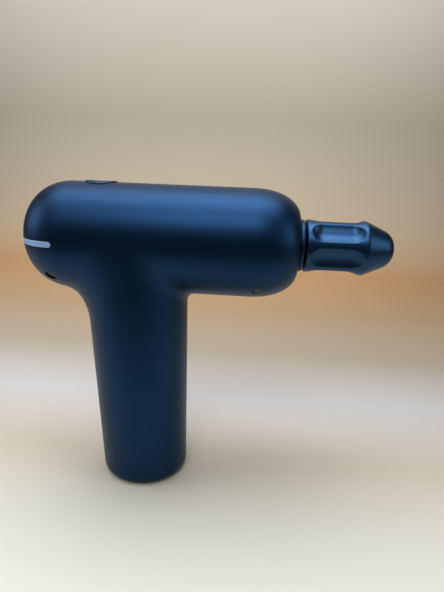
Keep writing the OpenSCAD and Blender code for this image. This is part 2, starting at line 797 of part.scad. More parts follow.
module yoke() {
    color([0.86, 0.86, 0.82]) difference() {
        union() {
            translate([pin_x - yoke_half, -yoke_y, axis_h - yoke_t / 2]) cube([2 * yoke_half, 2 * yoke_y, yoke_t]);
            at_axis(yoke_front_x - eps) cylinder(h = yoke_boss_len + eps, r = rod_d / 2 - 2.2, $fn = 48);
        }
        translate([pin_x, 0, axis_h - yoke_t / 2 - 1]) linear_extrude(yoke_t + 2) union() {
            square([2 * yoke_slot_half, 2 * (yoke_slot_y - yoke_slot_half)], center = true);
            for (s = [-1, 1]) translate([0, s * (yoke_slot_y - yoke_slot_half)]) circle(r = yoke_slot_half, $fn = 64);
        }
        yoke_pin_form(rod_d, seat);
    }
}

rod_end_x = front_reach + ring_gap + ring_t - 0.2;
socket_depth = stem_len + 1;
socket_r = stem_d / 2 + 0.2;

module piston_rod() {
    color(colour_alloy) difference() {
        at_axis(yoke_front_x) cylinder(h = rod_end_x - yoke_front_x, r = rod_d / 2, $fn = 64);
        at_axis(yoke_front_x - 1) cylinder(h = yoke_boss_len + 1.2, r = rod_d / 2 - 2.2 + seat, $fn = 48);
        at_axis(rod_end_x - socket_depth) cylinder(h = socket_depth + 1, r = socket_r, $fn = 64);
        at_axis(yoke_front_x + yoke_boss_len + 3) cylinder(h = rod_end_x - socket_depth - yoke_front_x - yoke_boss_len - 6, r = 3.5, $fn = 48);
        yoke_pin_form(rod_d, seat);
    }
}

// Cross pin that locks the yoke's spigot in the rod
module yoke_pin() {
    color(colour_steel) yoke_pin_form(rod_d / 2 - 0.5, 0);
}

// ---------------------------------------------------------------- massage head

head_x = front_reach + ring_gap + ring_t + 0.7;
stem_flange_t = 3;
stem_flange_r = 8;

// Outline as [radius, place from the back face]: a plain body, a slight waist,
// a rounded flare, a straight cone and a domed tip that carries the cone's
// slope on and ends square to the axis
cone_slope = 0.45;
cone_len = 7.4;
cone_from = flare_at + 1.4;
cone_end_at = cone_from + cone_len;
cone_end_r = flare_d / 2 - 0.45 - cone_slope * cone_len;
tip_side_r = cone_end_r - cone_slope * (head_len - cone_end_at);

function dome(n) = [for (i = [0 : n])
    quad([cone_end_r, cone_end_at], [tip_side_r, head_len], [0, head_len], i / n)];

module head_outline() {
    r = head_d / 2;
    polygon(concat([
        [0, 0],
        [r - 0.6, 0],
        [r - 0.15, 0.3],
        [r, 0.9],
        [r - 0.1, flare_at / 2],
        [r - 0.12, flare_at - 5.5],
        [r + 0.02, flare_at - 3],
        [flare_d / 2 - 0.12, flare_at - 1],
        [flare_d / 2, flare_at],
        [flare_d / 2 - 0.1, flare_at + 0.8],
        [flare_d / 2 - 0.45, cone_from]], dome(12)));
}

module massage_head() {
    half_angle = asin(flute_w / head_d);
    cut_axis = head_d / 2 * cos(half_angle) + sqrt(pow(flute_cut_r, 2) - pow(flute_w / 2, 2));
    end_reach = sqrt(pow(flute_cut_r, 2) - pow(cut_axis - head_d / 2, 2));
    color([0.10, 0.20, 0.33]) at_axis(head_x) difference() {
        rotate_extrude($fn = 96) head_outline();
        for (k = [0 : flute_count - 1]) rotate([0, 0, 360 * k / flute_count + flute_turn])
            translate([cut_axis, 0, flute_from + end_reach]) {
                cylinder(h = flute_len - 2 * end_reach, r = flute_cut_r, $fn = 64);
                sphere(r = flute_cut_r, $fn = 64);
                translate([0, 0, flute_len - 2 * end_reach]) sphere(r = flute_cut_r, $fn = 64);
            }
        translate([0, 0, -1]) cylinder(h = stem_flange_t + 1 + 12, r = stem_flange_r - 2, $fn = 64);
        translate([0, 0, -1]) cylinder(h = stem_flange_t + 1, r = stem_flange_r, $fn = 64);
    }
}

flute_turn = 49;
o_ring_r = 0.9;
o_ring_at = [5, 13];

module head_stem() {
    color(colour_dark) at_axis(head_x) difference() {
        union() {
            translate([0, 0, -stem_len]) cylinder(h = stem_len + stem_flange_t, r = stem_d / 2, $fn = 64);
            translate([0, 0, 0.4]) cylinder(h = stem_flange_t - 0.4 - seat, r = stem_flange_r - seat, $fn = 64);
            translate([0, 0, 1]) cylinder(h = stem_flange_t + 10, r = stem_flange_r - 2 - seat, $fn = 64);
        }
        for (d = o_ring_at) translate([0, 0, -d]) rotate_extrude($fn = 64)
            translate([stem_d / 2 + 0.15 - o_ring_r, 0]) circle(r = o_ring_r, $fn = 24);
        translate([0, 0, -stem_len - 1]) cylinder(h = stem_len + 8, r = 2.5, $fn = 48);
    }
}

module stem_o_rings() {
    color([0.02, 0.02, 0.02]) at_axis(head_x) for (d = o_ring_at) translate([0, 0, -d]) rotate_extrude($fn = 64)
        translate([stem_d / 2 + 0.15 - o_ring_r, 0]) circle(r = o_ring_r - 0.02, $fn = 24);
}

// ---------------------------------------------------------------- button and boards

lip_r = button_d / 2 + 1.1;
lip_t = 0.8;
lip_top = axis_h + sqrt(pow(barrel_r - wall, 2) - lip_r * lip_r) - 0.1;
switch_h = 3.5;
plunger_h = 1;
switch_top = board_z + board_t + switch_h;

module power_button() {
    color(colour_shell) union() {
        intersection() {
            translate([button_x, 0, lip_top - lip_t]) cylinder(h = barrel_r, r = button_d / 2, $fn = 64);
            translate([button_x - button_d, 0, axis_h]) along_x() cylinder(h = 2 * button_d, r = barrel_r + button_proud, $fn = 96);
        }
        translate([button_x, 0, lip_top - lip_t]) cylinder(h = lip_t, r = lip_r, $fn = 64);
        translate([button_x, 0, switch_top + plunger_h]) cylinder(h = lip_top - lip_t - switch_top - plunger_h + eps, r = 2, $fn = 32);
    }
}

module tact_switch() {
    color([0.15, 0.15, 0.16]) difference() {
        translate([button_x - 3, -3, board_z + board_t]) cube([6, 6, switch_h]);
        translate([button_x, 0, switch_top - 1.2]) cylinder(h = 2, r = 1.6 + 0.1, $fn = 32);
    }
}

module switch_plunger() {
    color([0.70, 0.10, 0.08]) translate([button_x, 0, switch_top - 1.2 + button_travel + 0.1])
        cylinder(h = plunger_h + 1.2 - button_travel - 0.1, r = 1.6, $fn = 32);
}

module main_board() {
    color(colour_board) difference() {
        translate([board_x0, -board_w / 2, board_z]) cube([board_x1 - board_x0, board_w, board_t]);
        for (p = board_screw_places) translate([p[0], p[1], board_z - 1]) cylinder(h = board_t + 2, r = board_screw_d / 2 + seat, $fn = 24);
    }
}

// Connectors, driver chips and capacitors under the board
// Connectors and chips that hang under the main board
connector_at = 13;
connector_size = [5, 14, 4];
plug_at = 7;
plug_size = [3, 7, 3];
driver_at = 20.5;
driver_y = 8.5;
chip_size = [6, 6, 1];

module under_board(x, y, size) {
    translate([x, y - size[1] / 2, board_z - size[2]]) cube(size);
}

module board_parts() {
    color([0.12, 0.12, 0.13]) {
        under_board(board_x0 + connector_at, 0, connector_size);
        under_board(board_x0 + plug_at, 0, plug_size);
        under_board(board_x1 - 2 * chip_size[0], -2, chip_size);
        for (s = [-1, 1]) under_board(board_x0 + driver_at, s * driver_y, [chip_size[0] - 1, chip_size[1] - 1, chip_size[2]]);
    }
}

module board_screws() {
    color(colour_steel) for (p = board_screw_places) translate([p[0], p[1], board_z - 1.4]) difference() {
        union() {
            cylinder(h = 1.4, r = 1.8, $fn = 32);
            cylinder(h = 1.4 + board_t, r = board_screw_d / 2, $fn = 32);
        }
        translate([0, 0, -1]) cylinder(h = 1.9, d = 1.2, $fn = 6);
    }
}

// ---------------------------------------------------------------- battery

cap_t = 5;
cap_pocket = 3;
cap_z = floor_top + foot_plate_t;
strip_t = 0.2;
cell_z = cap_z + cap_t - cap_pocket + strip_t;
upper_cap_z = cell_z + cell_len - cap_pocket;
cell_x = cell_d / 2 + 0.1;
cap_r_low = handle_r(cap_z) - wall - 0.3;

module cell_cap(z, strips_up) {
    difference() {
        translate([handle_x(z + cap_t / 2), 0, z]) cylinder(h = cap_t, r = handle_r(z) - wall - 0.3, $fn = 64);
        for (s = [-1, 1]) translate([cell_mid_x, s * cell_x, strips_up ? z - 1 : z + cap_t - cap_pocket])
            cylinder(h = cap_pocket + 1, r = cell_d / 2 + seat, $fn = 64);
    }
}

cell_mid_x = handle_x(cell_z + cell_len / 2);

module lower_cell_cap() {
    color([0.20, 0.21, 0.23]) difference() {
        cell_cap(cap_z, false);
        strip_bar(cap_z + cap_t - cap_pocket, 2 * cell_x + 8, seat);
    }
}

module upper_cell_cap() {
    color([0.20, 0.21, 0.23]) difference() {
        cell_cap(upper_cap_z, true);
        for (s = [-1, 1]) translate([cell_mid_x - 2.5, s * cell_x - 4, upper_cap_z + cap_pocket - 1]) cube([5, 8, cap_t]);
    }
}

module strip_bar(z, len, gap) {
    translate([cell_mid_x - 4 - gap, -len / 2 - gap, z]) cube([8 + 2 * gap, len + 2 * gap, strip_t]);
}

module battery_cells() {
    color([0.12, 0.35, 0.62]) for (s = [-1, 1]) translate([cell_mid_x, s * cell_x, cell_z]) union() {
        cylinder(h = cell_len - 1, r = cell_d / 2, $fn = 64);
        cylinder(h = cell_len, r = 3, $fn = 32);
    }
}

module nickel_strips() {
    color([0.80, 0.80, 0.78]) {
        strip_bar(cell_z - strip_t, 2 * cell_x + 8, 0);
        for (s = [-1, 1]) translate([cell_mid_x - 2, s * cell_x - 3, cell_z + cell_len])
            cube([4, 6, strip_t]);
    }
}

battery_board_z = upper_cap_z + cap_t;
battery_board_size = [16, 30, 1.2];
fet_size = [6, 5, 1];
pack_plug_size = [4, 7, 2.6];
pack_plug_top = battery_board_z + battery_board_size[2] + pack_plug_size[2];

module on_battery_board(x, y, size) {
    translate([x, y - size[1] / 2, battery_board_z + battery_board_size[2] - eps]) cube(size + [0, 0, eps]);
}

module battery_board() {
    color(colour_board) union() {
        translate([cell_mid_x - battery_board_size[0] / 2, -battery_board_size[1] / 2, battery_board_z])
            cube(battery_board_size);
        for (s = [-1, 1]) on_battery_board(cell_mid_x - fet_size[0] / 2, 4 * s, fet_size);
        on_battery_board(cell_mid_x - battery_board_size[0] / 2, 0, pack_plug_size);
    }
}

// ---------------------------------------------------------------- leads

// Round lead along a smooth curve through its points: Catmull-Rom spans, with
// a ring square to the curve at each step
lead_sides = 8;
lead_steps = 4;

function spline_at(p, i, t) = let (
    a = p[max(i - 1, 0)],
    b = p[i],
    c = p[i + 1],
    d = p[min(i + 2, len(p) - 1)])
    0.5 * (2 * b + (c - a) * t + (2 * a - 5 * b + 4 * c - d) * t * t + (3 * b - a - 3 * c + d) * t * t * t);

function spline(p) = [for (i = [0 : len(p) - 2], k = [0 : lead_steps - 1]) spline_at(p, i, k / lead_steps),
    p[len(p) - 1]];

function unit(v) = v / norm(v);

// Leads lie mostly in upright planes, so the rings are turned about Y
function lead_ring(path, i, r) = let (
    ahead = unit(path[min(i + 1, len(path) - 1)] - path[max(i - 1, 0)]),
    side = unit(cross(ahead, [0.05, 1, 0])),
    up = cross(side, ahead))
    [for (k = [0 : lead_sides - 1]) path[i] + r * (cos(360 * k / lead_sides) * side + sin(360 * k / lead_sides) * up)];

module lead(points, d) {
    path = spline(points);
    rings = [for (i = [0 : len(path) - 1]) each lead_ring(path, i, d / 2)];
    n = lead_sides;
    m = len(path);
    walls = [for (i = [0 : m - 2], k = [0 : n - 1]) let (
            a = i * n + k,
            b = i * n + (k + 1) % n,
            c = b + n,
            e = a + n)
        each [[a, b, c], [a, c, e]]];
    polyhedron(points = rings, faces = concat(walls,
        [[for (k = [n - 1 : -1 : 0]) k], [for (k = [0 : n - 1]) (m - 1) * n + k]]), convexity = 8);
}

connector_x = board_x0 + connector_at + connector_size[0] / 2;
connector_bottom = board_z - connector_size[2];
lead_end_gap = 0.15;
charge_lead_d = 1.2;
battery_lead_d = 1.5;
motor_lead_d = 1.3;
lead_clear = 0.8;
lead_sweep = 8;

// Leads climb between the rotor can and the housing, clear of the can
function duct_x(y, d) = motor_x - sqrt(pow(can_d / 2, 2) - y * y) - lead_clear - d / 2;

module battery_leads() {
    under_can = can_z - lead_clear - battery_lead_d / 2;
    color([0.70, 0.08, 0.06]) for (y = [-5.2, 5.2]) let (s = sign(y), x = duct_x(y, battery_lead_d))
        lead([[cell_mid_x - 6, s * 2.2, pack_plug_top + lead_end_gap],
            [cell_mid_x - 7, s * 2.5, under_can - 1],
            [x + lead_sweep, y * 0.8, under_can - 0.5],
            [x + 2.4, y, under_can - 0.2],
            [x, y, can_z + 2],
            [x, y, can_z + can_h / 2],
            [x, y, plate_z],
            [x, y, plate_top + 6],
            [connector_x - 0.5, y, connector_bottom - 6],
            [connector_x, y, connector_bottom - lead_end_gap]], battery_lead_d);
}

module motor_leads() {
    x = duct_x(0, motor_lead_d);
    color([0.85, 0.75, 0.15]) for (y = [-2.2, 0, 2.2])
        lead([[motor_x - base_r, y, base_z + base_t / 2],
            [motor_x - base_r - 1.5, y, base_z + base_t / 2 + 0.2],
            [x - 0.1, y, plate_z + plate_t / 2],
            [x + 0.2, y, plate_top + 4],
            [connector_x, y, connector_bottom - 5],
            [connector_x, y, connector_bottom - lead_end_gap]], motor_lead_d);
}

module charge_leads() {
    plug_x = board_x0 + plug_at + plug_size[0] / 2;
    plug_z = board_z - plug_size[2];
    color([0.12, 0.12, 0.12]) for (y = [-2.4, 2.4])
        lead([[port_x + 12 * cos(port_angle), y, port_z + 12 * sin(port_angle) + 2],
            [port_x + 13 * cos(port_angle), y, port_z + 12 * sin(port_angle) + 6],
            [plug_x - 1, y, axis_h],
            [plug_x, y, plug_z - 5],
            [plug_x, y, plug_z - lead_end_gap]], charge_lead_d);
}

right_shell();
left_shell();
nose_ring();
wiper_seal();
light_bar();
led_board();
charge_bezel();
charge_socket();
charge_tongue();
charge_board();
foot_pad();
foot_plate();
foot_screws();
screw_plugs();
nose_screws();
guide_block();
guide_bushes();
guide_screws();
motor_plate();
motor_screws();
motor_base();
stator_core();
stator_windings();
bearing_outer_rings();
bearing_inner_rings();
bearing_balls();
rotor_can();
rotor_magnets();
motor_shaft();
crank_wheel();
crank_pin();
yoke_roller();
yoke();
piston_rod();
yoke_pin();
massage_head();
head_stem();
stem_o_rings();
power_button();
tact_switch();
switch_plunger();
main_board();
board_parts();
board_screws();
battery_cells();
lower_cell_cap();
upper_cell_cap();
nickel_strips();
battery_board();
battery_leads();
motor_leads();
charge_leads();
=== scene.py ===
# Cordless massage gun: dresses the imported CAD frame. Sizes are millimetres until
# a mesh is made, in the frame's axes: foot on z = 0, +X towards the massage head.
import json
import math
import bpy
import numpy as np
from mathutils import Matrix


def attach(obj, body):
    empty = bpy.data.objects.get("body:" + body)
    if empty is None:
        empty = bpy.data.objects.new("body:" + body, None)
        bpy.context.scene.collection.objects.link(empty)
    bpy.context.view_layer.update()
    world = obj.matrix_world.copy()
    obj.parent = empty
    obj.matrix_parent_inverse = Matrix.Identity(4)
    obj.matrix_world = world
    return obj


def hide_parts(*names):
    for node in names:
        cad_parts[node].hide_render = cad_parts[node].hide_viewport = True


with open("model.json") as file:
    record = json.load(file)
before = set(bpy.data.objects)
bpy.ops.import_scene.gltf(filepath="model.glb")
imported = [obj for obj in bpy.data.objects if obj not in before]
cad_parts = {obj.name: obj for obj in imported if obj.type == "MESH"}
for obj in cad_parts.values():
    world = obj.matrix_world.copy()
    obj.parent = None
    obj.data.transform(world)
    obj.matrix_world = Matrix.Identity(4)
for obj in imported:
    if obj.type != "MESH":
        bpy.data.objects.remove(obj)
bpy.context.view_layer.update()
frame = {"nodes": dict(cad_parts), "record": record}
nodes = frame["nodes"]
print("frame loaded:", len(nodes), "nodes")

camera = dict(place=(49.338, -203.220, 149.951), focalPixels=436.64, yaw=-0.0584, pitch=0.2650, roll=0.0407,
              imageHeight=592, sensor=36.0, clip=(0.01, 20))


def makeCamera(c):
    # Looks along (sin yaw cos pitch, cos yaw cos pitch, -sin pitch), rolled about that line
    yaw, pitch, roll = c["yaw"], c["pitch"], c["roll"]
    ahead = np.array([math.sin(yaw) * math.cos(pitch), math.cos(yaw) * math.cos(pitch), -math.sin(pitch)])
    right = np.array([math.cos(yaw), -math.sin(yaw), 0.0])
    up = np.cross(right, ahead)
    cr, sr = math.cos(roll), math.sin(roll)
    matrix = np.eye(4)
    matrix[:3, 0] = cr * right + sr * up
    matrix[:3, 1] = cr * up - sr * right
    matrix[:3, 2] = -ahead
    matrix[:3, 3] = np.array(c["place"]) * 0.001
    data = bpy.data.cameras.new("camera")
    data.sensor_width = c["sensor"]
    data.lens = c["focalPixels"] * c["sensor"] / c["imageHeight"]
    data.clip_start, data.clip_end = c["clip"]
    item = bpy.data.objects.new("camera", data)
    item.matrix_world = Matrix(matrix.tolist())
    bpy.context.scene.collection.objects.link(item)
    bpy.context.scene.camera = item


makeCamera(camera)

lights = dict(
    top=dict(place=(-0.10, 0.20, 0.66), aim=(-0.09, 0.22, 0.0), size=(0.84, 0.68),
             power=3.0, spread=90, colour=(0.86, 0.94, 1.0)),
    front=dict(place=(-0.04, -0.36, 0.68), aim=(0.0, 0.08, 0.12), size=(1.05, 0.50),
               power=0.62, spread=38, colour=(0.84, 0.93, 1.0)),
    left=dict(place=(-0.80, -0.10, 0.42), aim=(0.0, 0.0, 0.13), size=(0.6, 0.5),
              power=0.34, spread=60, colour=(0.84, 0.93, 1.0)),
    right=dict(place=(0.85, -0.25, 0.42), aim=(0.05, 0.0, 0.13), size=(0.6, 0.5),
               power=0.24, spread=60, colour=(0.84, 0.93, 1.0)),
    wall=dict(place=(0.0, 0.28, 0.80), aim=(0.0, 0.62, 0.42), size=(1.2, 0.15),
              power=1.9, spread=100, colour=(1.0, 0.97, 0.92)),
)
worldColour, worldStrength = (0.80, 0.79, 0.77), 0.10


def makeLight(name, place, aim, size, power, spread, colour):
    data = bpy.data.lights.new(name, "AREA")
    data.shape = "RECTANGLE"
    data.size, data.size_y = size
    data.energy = power
    data.spread = math.radians(spread)
    data.color = colour
    item = bpy.data.objects.new(name, data)
    back = np.array(place) - np.array(aim)
    back /= np.linalg.norm(back)
    side = np.cross([0.0, 1.0, 0.0], back)
    side /= np.linalg.norm(side)
    matrix = np.eye(4)
    matrix[:3, :] = np.stack([side, np.cross(back, side), back, place], axis=1)
    item.matrix_world = Matrix(matrix.tolist())
    bpy.context.scene.collection.objects.link(item)


for name, values in lights.items():
    makeLight(name, **values)
bpy.context.scene.view_settings.view_transform = "Standard"
world = bpy.data.worlds.new("studio")
bpy.context.scene.world = world
world.use_nodes = True
surroundings = world.node_tree.nodes["Background"]
surroundings.inputs["Color"].default_value = (*worldColour, 1)
surroundings.inputs["Strength"].default_value = worldStrength
print("camera and lights made")


class Term:
    # Wraps a shader socket, so that maths on surfaces reads as an expression
    def __init__(self, finish, socket):
        self.finish, self.socket = finish, socket

    def maths(self, operation, other, swap=False):
        a, b = (other, self) if swap else (self, other)
        return self.finish.node("ShaderNodeMath", dict(operation=operation), {0: a, 1: b})

    def __add__(self, other): return self.maths("ADD", other)
    def __radd__(self, other): return self.maths("ADD", other, True)
    def __sub__(self, other): return self.maths("SUBTRACT", other)
    def __rsub__(self, other): return self.maths("SUBTRACT", other, True)
    def __mul__(self, other): return self.maths("MULTIPLY", other)
    def __rmul__(self, other): return self.maths("MULTIPLY", other, True)
    def __truediv__(self, other): return self.maths("DIVIDE", other)
    def __pow__(self, other): return self.maths("POWER", other)


class Finish:
    # One material: a Principled surface and the nodes that feed it
    def __init__(self, name, **sockets):
        self.material = bpy.data.materials.new(name)
        self.material.use_nodes = True
        self.tree = self.material.node_tree
        self.tree.nodes.clear()
        self.surface = self.tree.nodes.new("ShaderNodeBsdfPrincipled")
        output = self.tree.nodes.new("ShaderNodeOutputMaterial")
        self.tree.links.new(self.surface.outputs[0], output.inputs["Surface"])
        self.put(self.surface, {key.replace("_", " "): value for key, value in sockets.items()})

    def put(self, item, values):
        for key, value in values.items():
            if isinstance(value, Term):
                self.tree.links.new(value.socket, item.inputs[key])
            elif isinstance(value, tuple) and len(value) == 3 and item.inputs[key].type == "RGBA":
                item.inputs[key].default_value = (*value, 1)
            else:
                item.inputs[key].default_value = value

    def node(self, kind, settings=None, values=None, output=0):
        item = self.tree.nodes.new(kind)
        for key, value in (settings or {}).items():
            if key == "stops":
                ramp = item.color_ramp
                while len(ramp.elements) < len(value):
                    ramp.elements.new(0.5)
                for element, (place, colour) in zip(ramp.elements, value):
                    element.position, element.color = place, (*colour, 1)
            else:
                setattr(item, key, value)
        self.put(item, values or {})
        return Term(self, item.outputs[output])

    def place(self, scale=(1, 1, 1)):
        # Object coordinates, which stay with the piece
        spot = self.node("ShaderNodeTexCoord", output=3)
        return self.node("ShaderNodeMapping", None, {"Vector": spot, "Scale": scale})

    def noise(self, scale, detail=3, stretch=(1, 1, 1)):
        return self.node("ShaderNodeTexNoise", None, {"Vector": self.place(stretch), "Scale": scale, "Detail": detail})

    def bands(self, scale, distortion=0.0, direction="X"):
        return self.node("ShaderNodeTexWave", dict(wave_type="BANDS", bands_direction=direction),
                         {"Vector": self.place(), "Scale": scale, "Distortion": distortion}, 1)

    def between(self, factor, low, high):
        # Mixes two colours
        item = self.tree.nodes.new("ShaderNodeMix")
        item.data_type = "RGBA"
        self.put(item, {0: factor, 6: low, 7: high})
        return Term(self, item.outputs[2])

    def bump(self, height, depth, strength=1.0):
        return self.node("ShaderNodeBump", None, {"Height": height, "Distance": depth, "Strength": strength})

    def feed(self, **sockets):
        self.put(self.surface, {key.replace("_", " "): value for key, value in sockets.items()})
        return self.material


def softNavy():
    # Satin navy lacquer with a metallic glint, over a fine moulded grain
    f = Finish("navyLacquer", Metallic=1.0)
    cloud, grain = f.noise(22, 4), f.noise(2600, 2)
    return f.feed(Base_Color=f.between(cloud, (0.0110, 0.0345, 0.0830), (0.0130, 0.0390, 0.0930)),
                  Roughness=0.38 + cloud * 0.05 + grain * 0.04,
                  Normal=f.bump(grain, 0.00002, 0.35))


def moulded(name, dark, light, rough, grainScale=1800):
    # Plain moulded plastic or rubber with a faint mould grain
    f = Finish(name)
    cloud, grain = f.noise(45, 3), f.noise(grainScale, 2)
    return f.feed(Base_Color=f.between(cloud, dark, light), Roughness=rough + cloud * 0.08,
                  Normal=f.bump(grain, 0.00002, 0.4))


def metal(name, dark, light, rough, brushed=900):
    # Bare metal with fine tool marks
    f = Finish(name, Metallic=1.0)
    cloud, marks = f.noise(60, 3), f.noise(brushed, 3)
    return f.feed(Base_Color=f.between(cloud, dark, light), Roughness=rough + marks * 0.08,
                  Normal=f.bump(marks, 0.000012, 0.35))


def anodised():
    # Dark blue anodised aluminium with faint turned rings round the X axis
    f = Finish("anodisedBlue", Metallic=1.0)
    cloud, rings = f.noise(70, 3), f.noise(1.0, 2, (2400, 12, 12))
    return f.feed(Base_Color=f.between(cloud, (0.018, 0.050, 0.112), (0.023, 0.060, 0.130)),
                  Roughness=0.32 + cloud * 0.05 + rings * 0.03,
                  Normal=f.bump(rings, 0.000008, 0.25))


glow = dict(middle=119.5, reach=1.25, strength=0.16)  # middle and reach as the light bar's


def lightGuide():
    # Milky light guide that glows faintly pale blue; its upper and lower edges are painted whiter, in colour and in
    # glow, as a painted highlight
    f = Finish("lightGuide", Emission_Strength=glow["strength"], Coat_Weight=0.2, Coat_Roughness=0.25)
    cloud = f.noise(120, 3)
    height = f.node("ShaderNodeSeparateXYZ", None, {0: f.node("ShaderNodeTexCoord", output=3)}, 2)
    offset = f.node("ShaderNodeMath", dict(operation="ABSOLUTE"), {0: height * 1000 - glow["middle"]})
    # Painted highlight mask: 0 along the middle of the bar, rising to 1 at its upper and lower edges
    rim = f.node("ShaderNodeMath", dict(operation="MINIMUM"), {0: (offset / glow["reach"]) ** 4, 1: 1.0})
    milk = f.between(cloud, (0.20, 0.34, 0.62), (0.25, 0.39, 0.67))
    return f.feed(Base_Color=f.between(rim, milk, (0.55, 0.62, 0.80)),
                  Emission_Color=f.between(rim, (0.22, 0.38, 0.72), (0.55, 0.62, 0.85)),
                  Roughness=0.35 + cloud * 0.1)


def board():
    # Circuit board: green varnish over a weave and paler tracks
    f = Finish("circuitBoard", Coat_Weight=0.4, Coat_Roughness=0.2)
    weave = f.bands(420.0, 2.0)
    tracks = f.node("ShaderNodeTexBrick", None, {
        "Vector": f.place((260, 260, 260)), "Color1": (0.01, 0.075, 0.03), "Color2": (0.012, 0.09, 0.035),
        "Mortar": (0.03, 0.17, 0.07), "Scale": 1.0, "Mortar Size": 0.05})
    return f.feed(Base_Color=tracks, Roughness=0.35 + weave * 0.1)


def laminations():
    # Stacked steel sheets: fine lines square to Z
    f = Finish("laminationSteel", Metallic=1.0)
    lines = f.bands(500.0, direction="Z")
    return f.feed(Base_Color=f.between(lines, (0.20, 0.20, 0.21), (0.42, 0.42, 0.43)), Roughness=0.35 + lines * 0.15,
                  Normal=f.bump(lines, 0.00005, 0.6))


def copper():
    # Enamelled winding wire: close turns seen as fine bands
    f = Finish("copperWire", Metallic=0.85, Coat_Weight=0.6, Coat_Roughness=0.15)
    turns = f.bands(700.0, 0.6, "Z")
    return f.feed(Base_Color=f.between(turns, (0.25, 0.07, 0.025), (0.70, 0.27, 0.11)), Roughness=0.3 + turns * 0.1,
                  Normal=f.bump(turns, 0.0001, 0.7))


finishes = dict(
    soft_navy=softNavy(),
    black_plastic=moulded("blackPlastic", (0.008, 0.009, 0.011), (0.014, 0.015, 0.018), 0.42),
    grey_plastic=moulded("greyPlastic", (0.10, 0.10, 0.105), (0.14, 0.14, 0.145), 0.45),
    white_plastic=moulded("whitePlastic", (0.62, 0.61, 0.58), (0.72, 0.71, 0.68), 0.4),
    red_plastic=moulded("redPlastic", (0.32, 0.02, 0.015), (0.42, 0.03, 0.02), 0.4),
    black_rubber=moulded("blackRubber", (0.010, 0.010, 0.010), (0.020, 0.020, 0.020), 0.72, 900),
    light_guide=lightGuide(),
    circuit_board=board(),
    bright_steel=metal("brightSteel", (0.52, 0.53, 0.55), (0.66, 0.67, 0.69), 0.22),
    lamination_steel=laminations(),
    cast_alloy=metal("castAlloy", (0.42, 0.43, 0.44), (0.60, 0.61, 0.62), 0.45, brushed=400),
    bronze=metal("bronze", (0.38, 0.22, 0.09), (0.52, 0.32, 0.14), 0.35),
    copper_wire=copper(),
    anodised_blue=anodised(),
    cell_wrap=moulded("cellWrap", (0.02, 0.10, 0.28), (0.03, 0.13, 0.34), 0.3),
    red_wire=moulded("redWire", (0.40, 0.02, 0.015), (0.50, 0.03, 0.02), 0.4),
    yellow_wire=moulded("yellowWire", (0.60, 0.40, 0.03), (0.70, 0.48, 0.05), 0.4),
    black_wire=moulded("blackWire", (0.012, 0.012, 0.012), (0.022, 0.022, 0.022), 0.4),
)
slotOf = {entry["node"]: entry["material_slot"] for entry in frame["record"]["subparts"]}
print("materials made:", len(finishes), "for", len(slotOf), "nodes")


def gridFaces(shape, flip=False):
    # Quads of a grid of rows and columns, as four corner numbers each
    rows, cols = shape
    index = np.arange(rows * cols).reshape(rows, cols)
    a, b, c, d = index[:-1, :-1], index[:-1, 1:], index[1:, 1:], index[1:, :-1]
    order = (a, d, c, b) if flip else (a, b, c, d)
    return np.stack(order, axis=-1).reshape(-1, 4)


def weld(points, quads):
    # Merges points that share a place; quads that lose a side become triangles
    key = np.round(points, 4) + 0.0  # a ten-thousandth of a millimetre
    _, first, inverse = np.unique(key, axis=0, return_index=True, return_inverse=True)
    faces = inverse.reshape(-1)[quads]
    same = faces == np.roll(faces, -1, axis=1)
    whole = faces[same.sum(axis=1) == 0]
    short = faces[same.sum(axis=1) == 1]
    drop = same[same.sum(axis=1) == 1].argmax(axis=1)
    keep = (drop[:, None] + np.array([1, 2, 3])[None, :]) % 4
    return first, whole, np.take_along_axis(short, keep, axis=1)


def volume(points, faces):
    # Six times the signed volume: a sum over the fan of triangles of each face
    faces = np.asarray(faces).reshape(-1, np.shape(faces)[1] if len(faces) else 3)
    total = 0.0
    for i in range(1, faces.shape[1] - 1):
        a, b, c = points[faces[:, 0]], points[faces[:, i]], points[faces[:, i + 1]]
        total += np.sum(a * np.cross(b, c))
    return total


def makeMesh(name, points, quads, triangles=(), smoothAngle=40, closed=True):
    # Puts arrays into a mesh in metres, turned to face outwards; edges sharper than
    # the angle stay crisp
    points, quads, triangles = np.asarray(points), np.asarray(quads), np.asarray(triangles)
    if closed and volume(points, quads) + volume(points, triangles) < 0:
        quads, triangles = quads[:, ::-1], triangles[:, ::-1] if len(triangles) else triangles
    faces = [*quads.tolist(), *triangles.tolist()]
    mesh = bpy.data.meshes.new(name)
    mesh.from_pydata((np.asarray(points) * 0.001).tolist(), [], faces)
    mesh.validate()
    mesh.update()
    item = bpy.data.objects.new(name, mesh)
    bpy.context.scene.collection.objects.link(item)
    smooth(item, smoothAngle)
    return item


def smooth(item, angle):
    mesh = item.data
    mesh.shade_smooth()
    mesh.set_sharp_from_angle(angle=math.radians(angle))


def lathe(name, outline, centre, axis="x", steps=128):
    # Closed outline of (radius, place) pairs turned about an axis through centre
    outline = np.asarray(outline, float)
    turn = np.linspace(0, 2 * math.pi, steps + 1)
    radius, place = outline[:, 0][:, None], outline[:, 1][:, None] + 0 * turn[None, :]
    a, b = radius * np.cos(turn), radius * np.sin(turn)
    order = dict(x=(place, a, b), z=(a, b, place))[axis]
    grid = np.stack(order, axis=-1) + np.asarray(centre, float)
    points = grid.reshape(-1, 3)
    first, quads, triangles = weld(points, gridFaces(grid.shape[:2]))
    return makeMesh(name, points[first], quads, triangles)


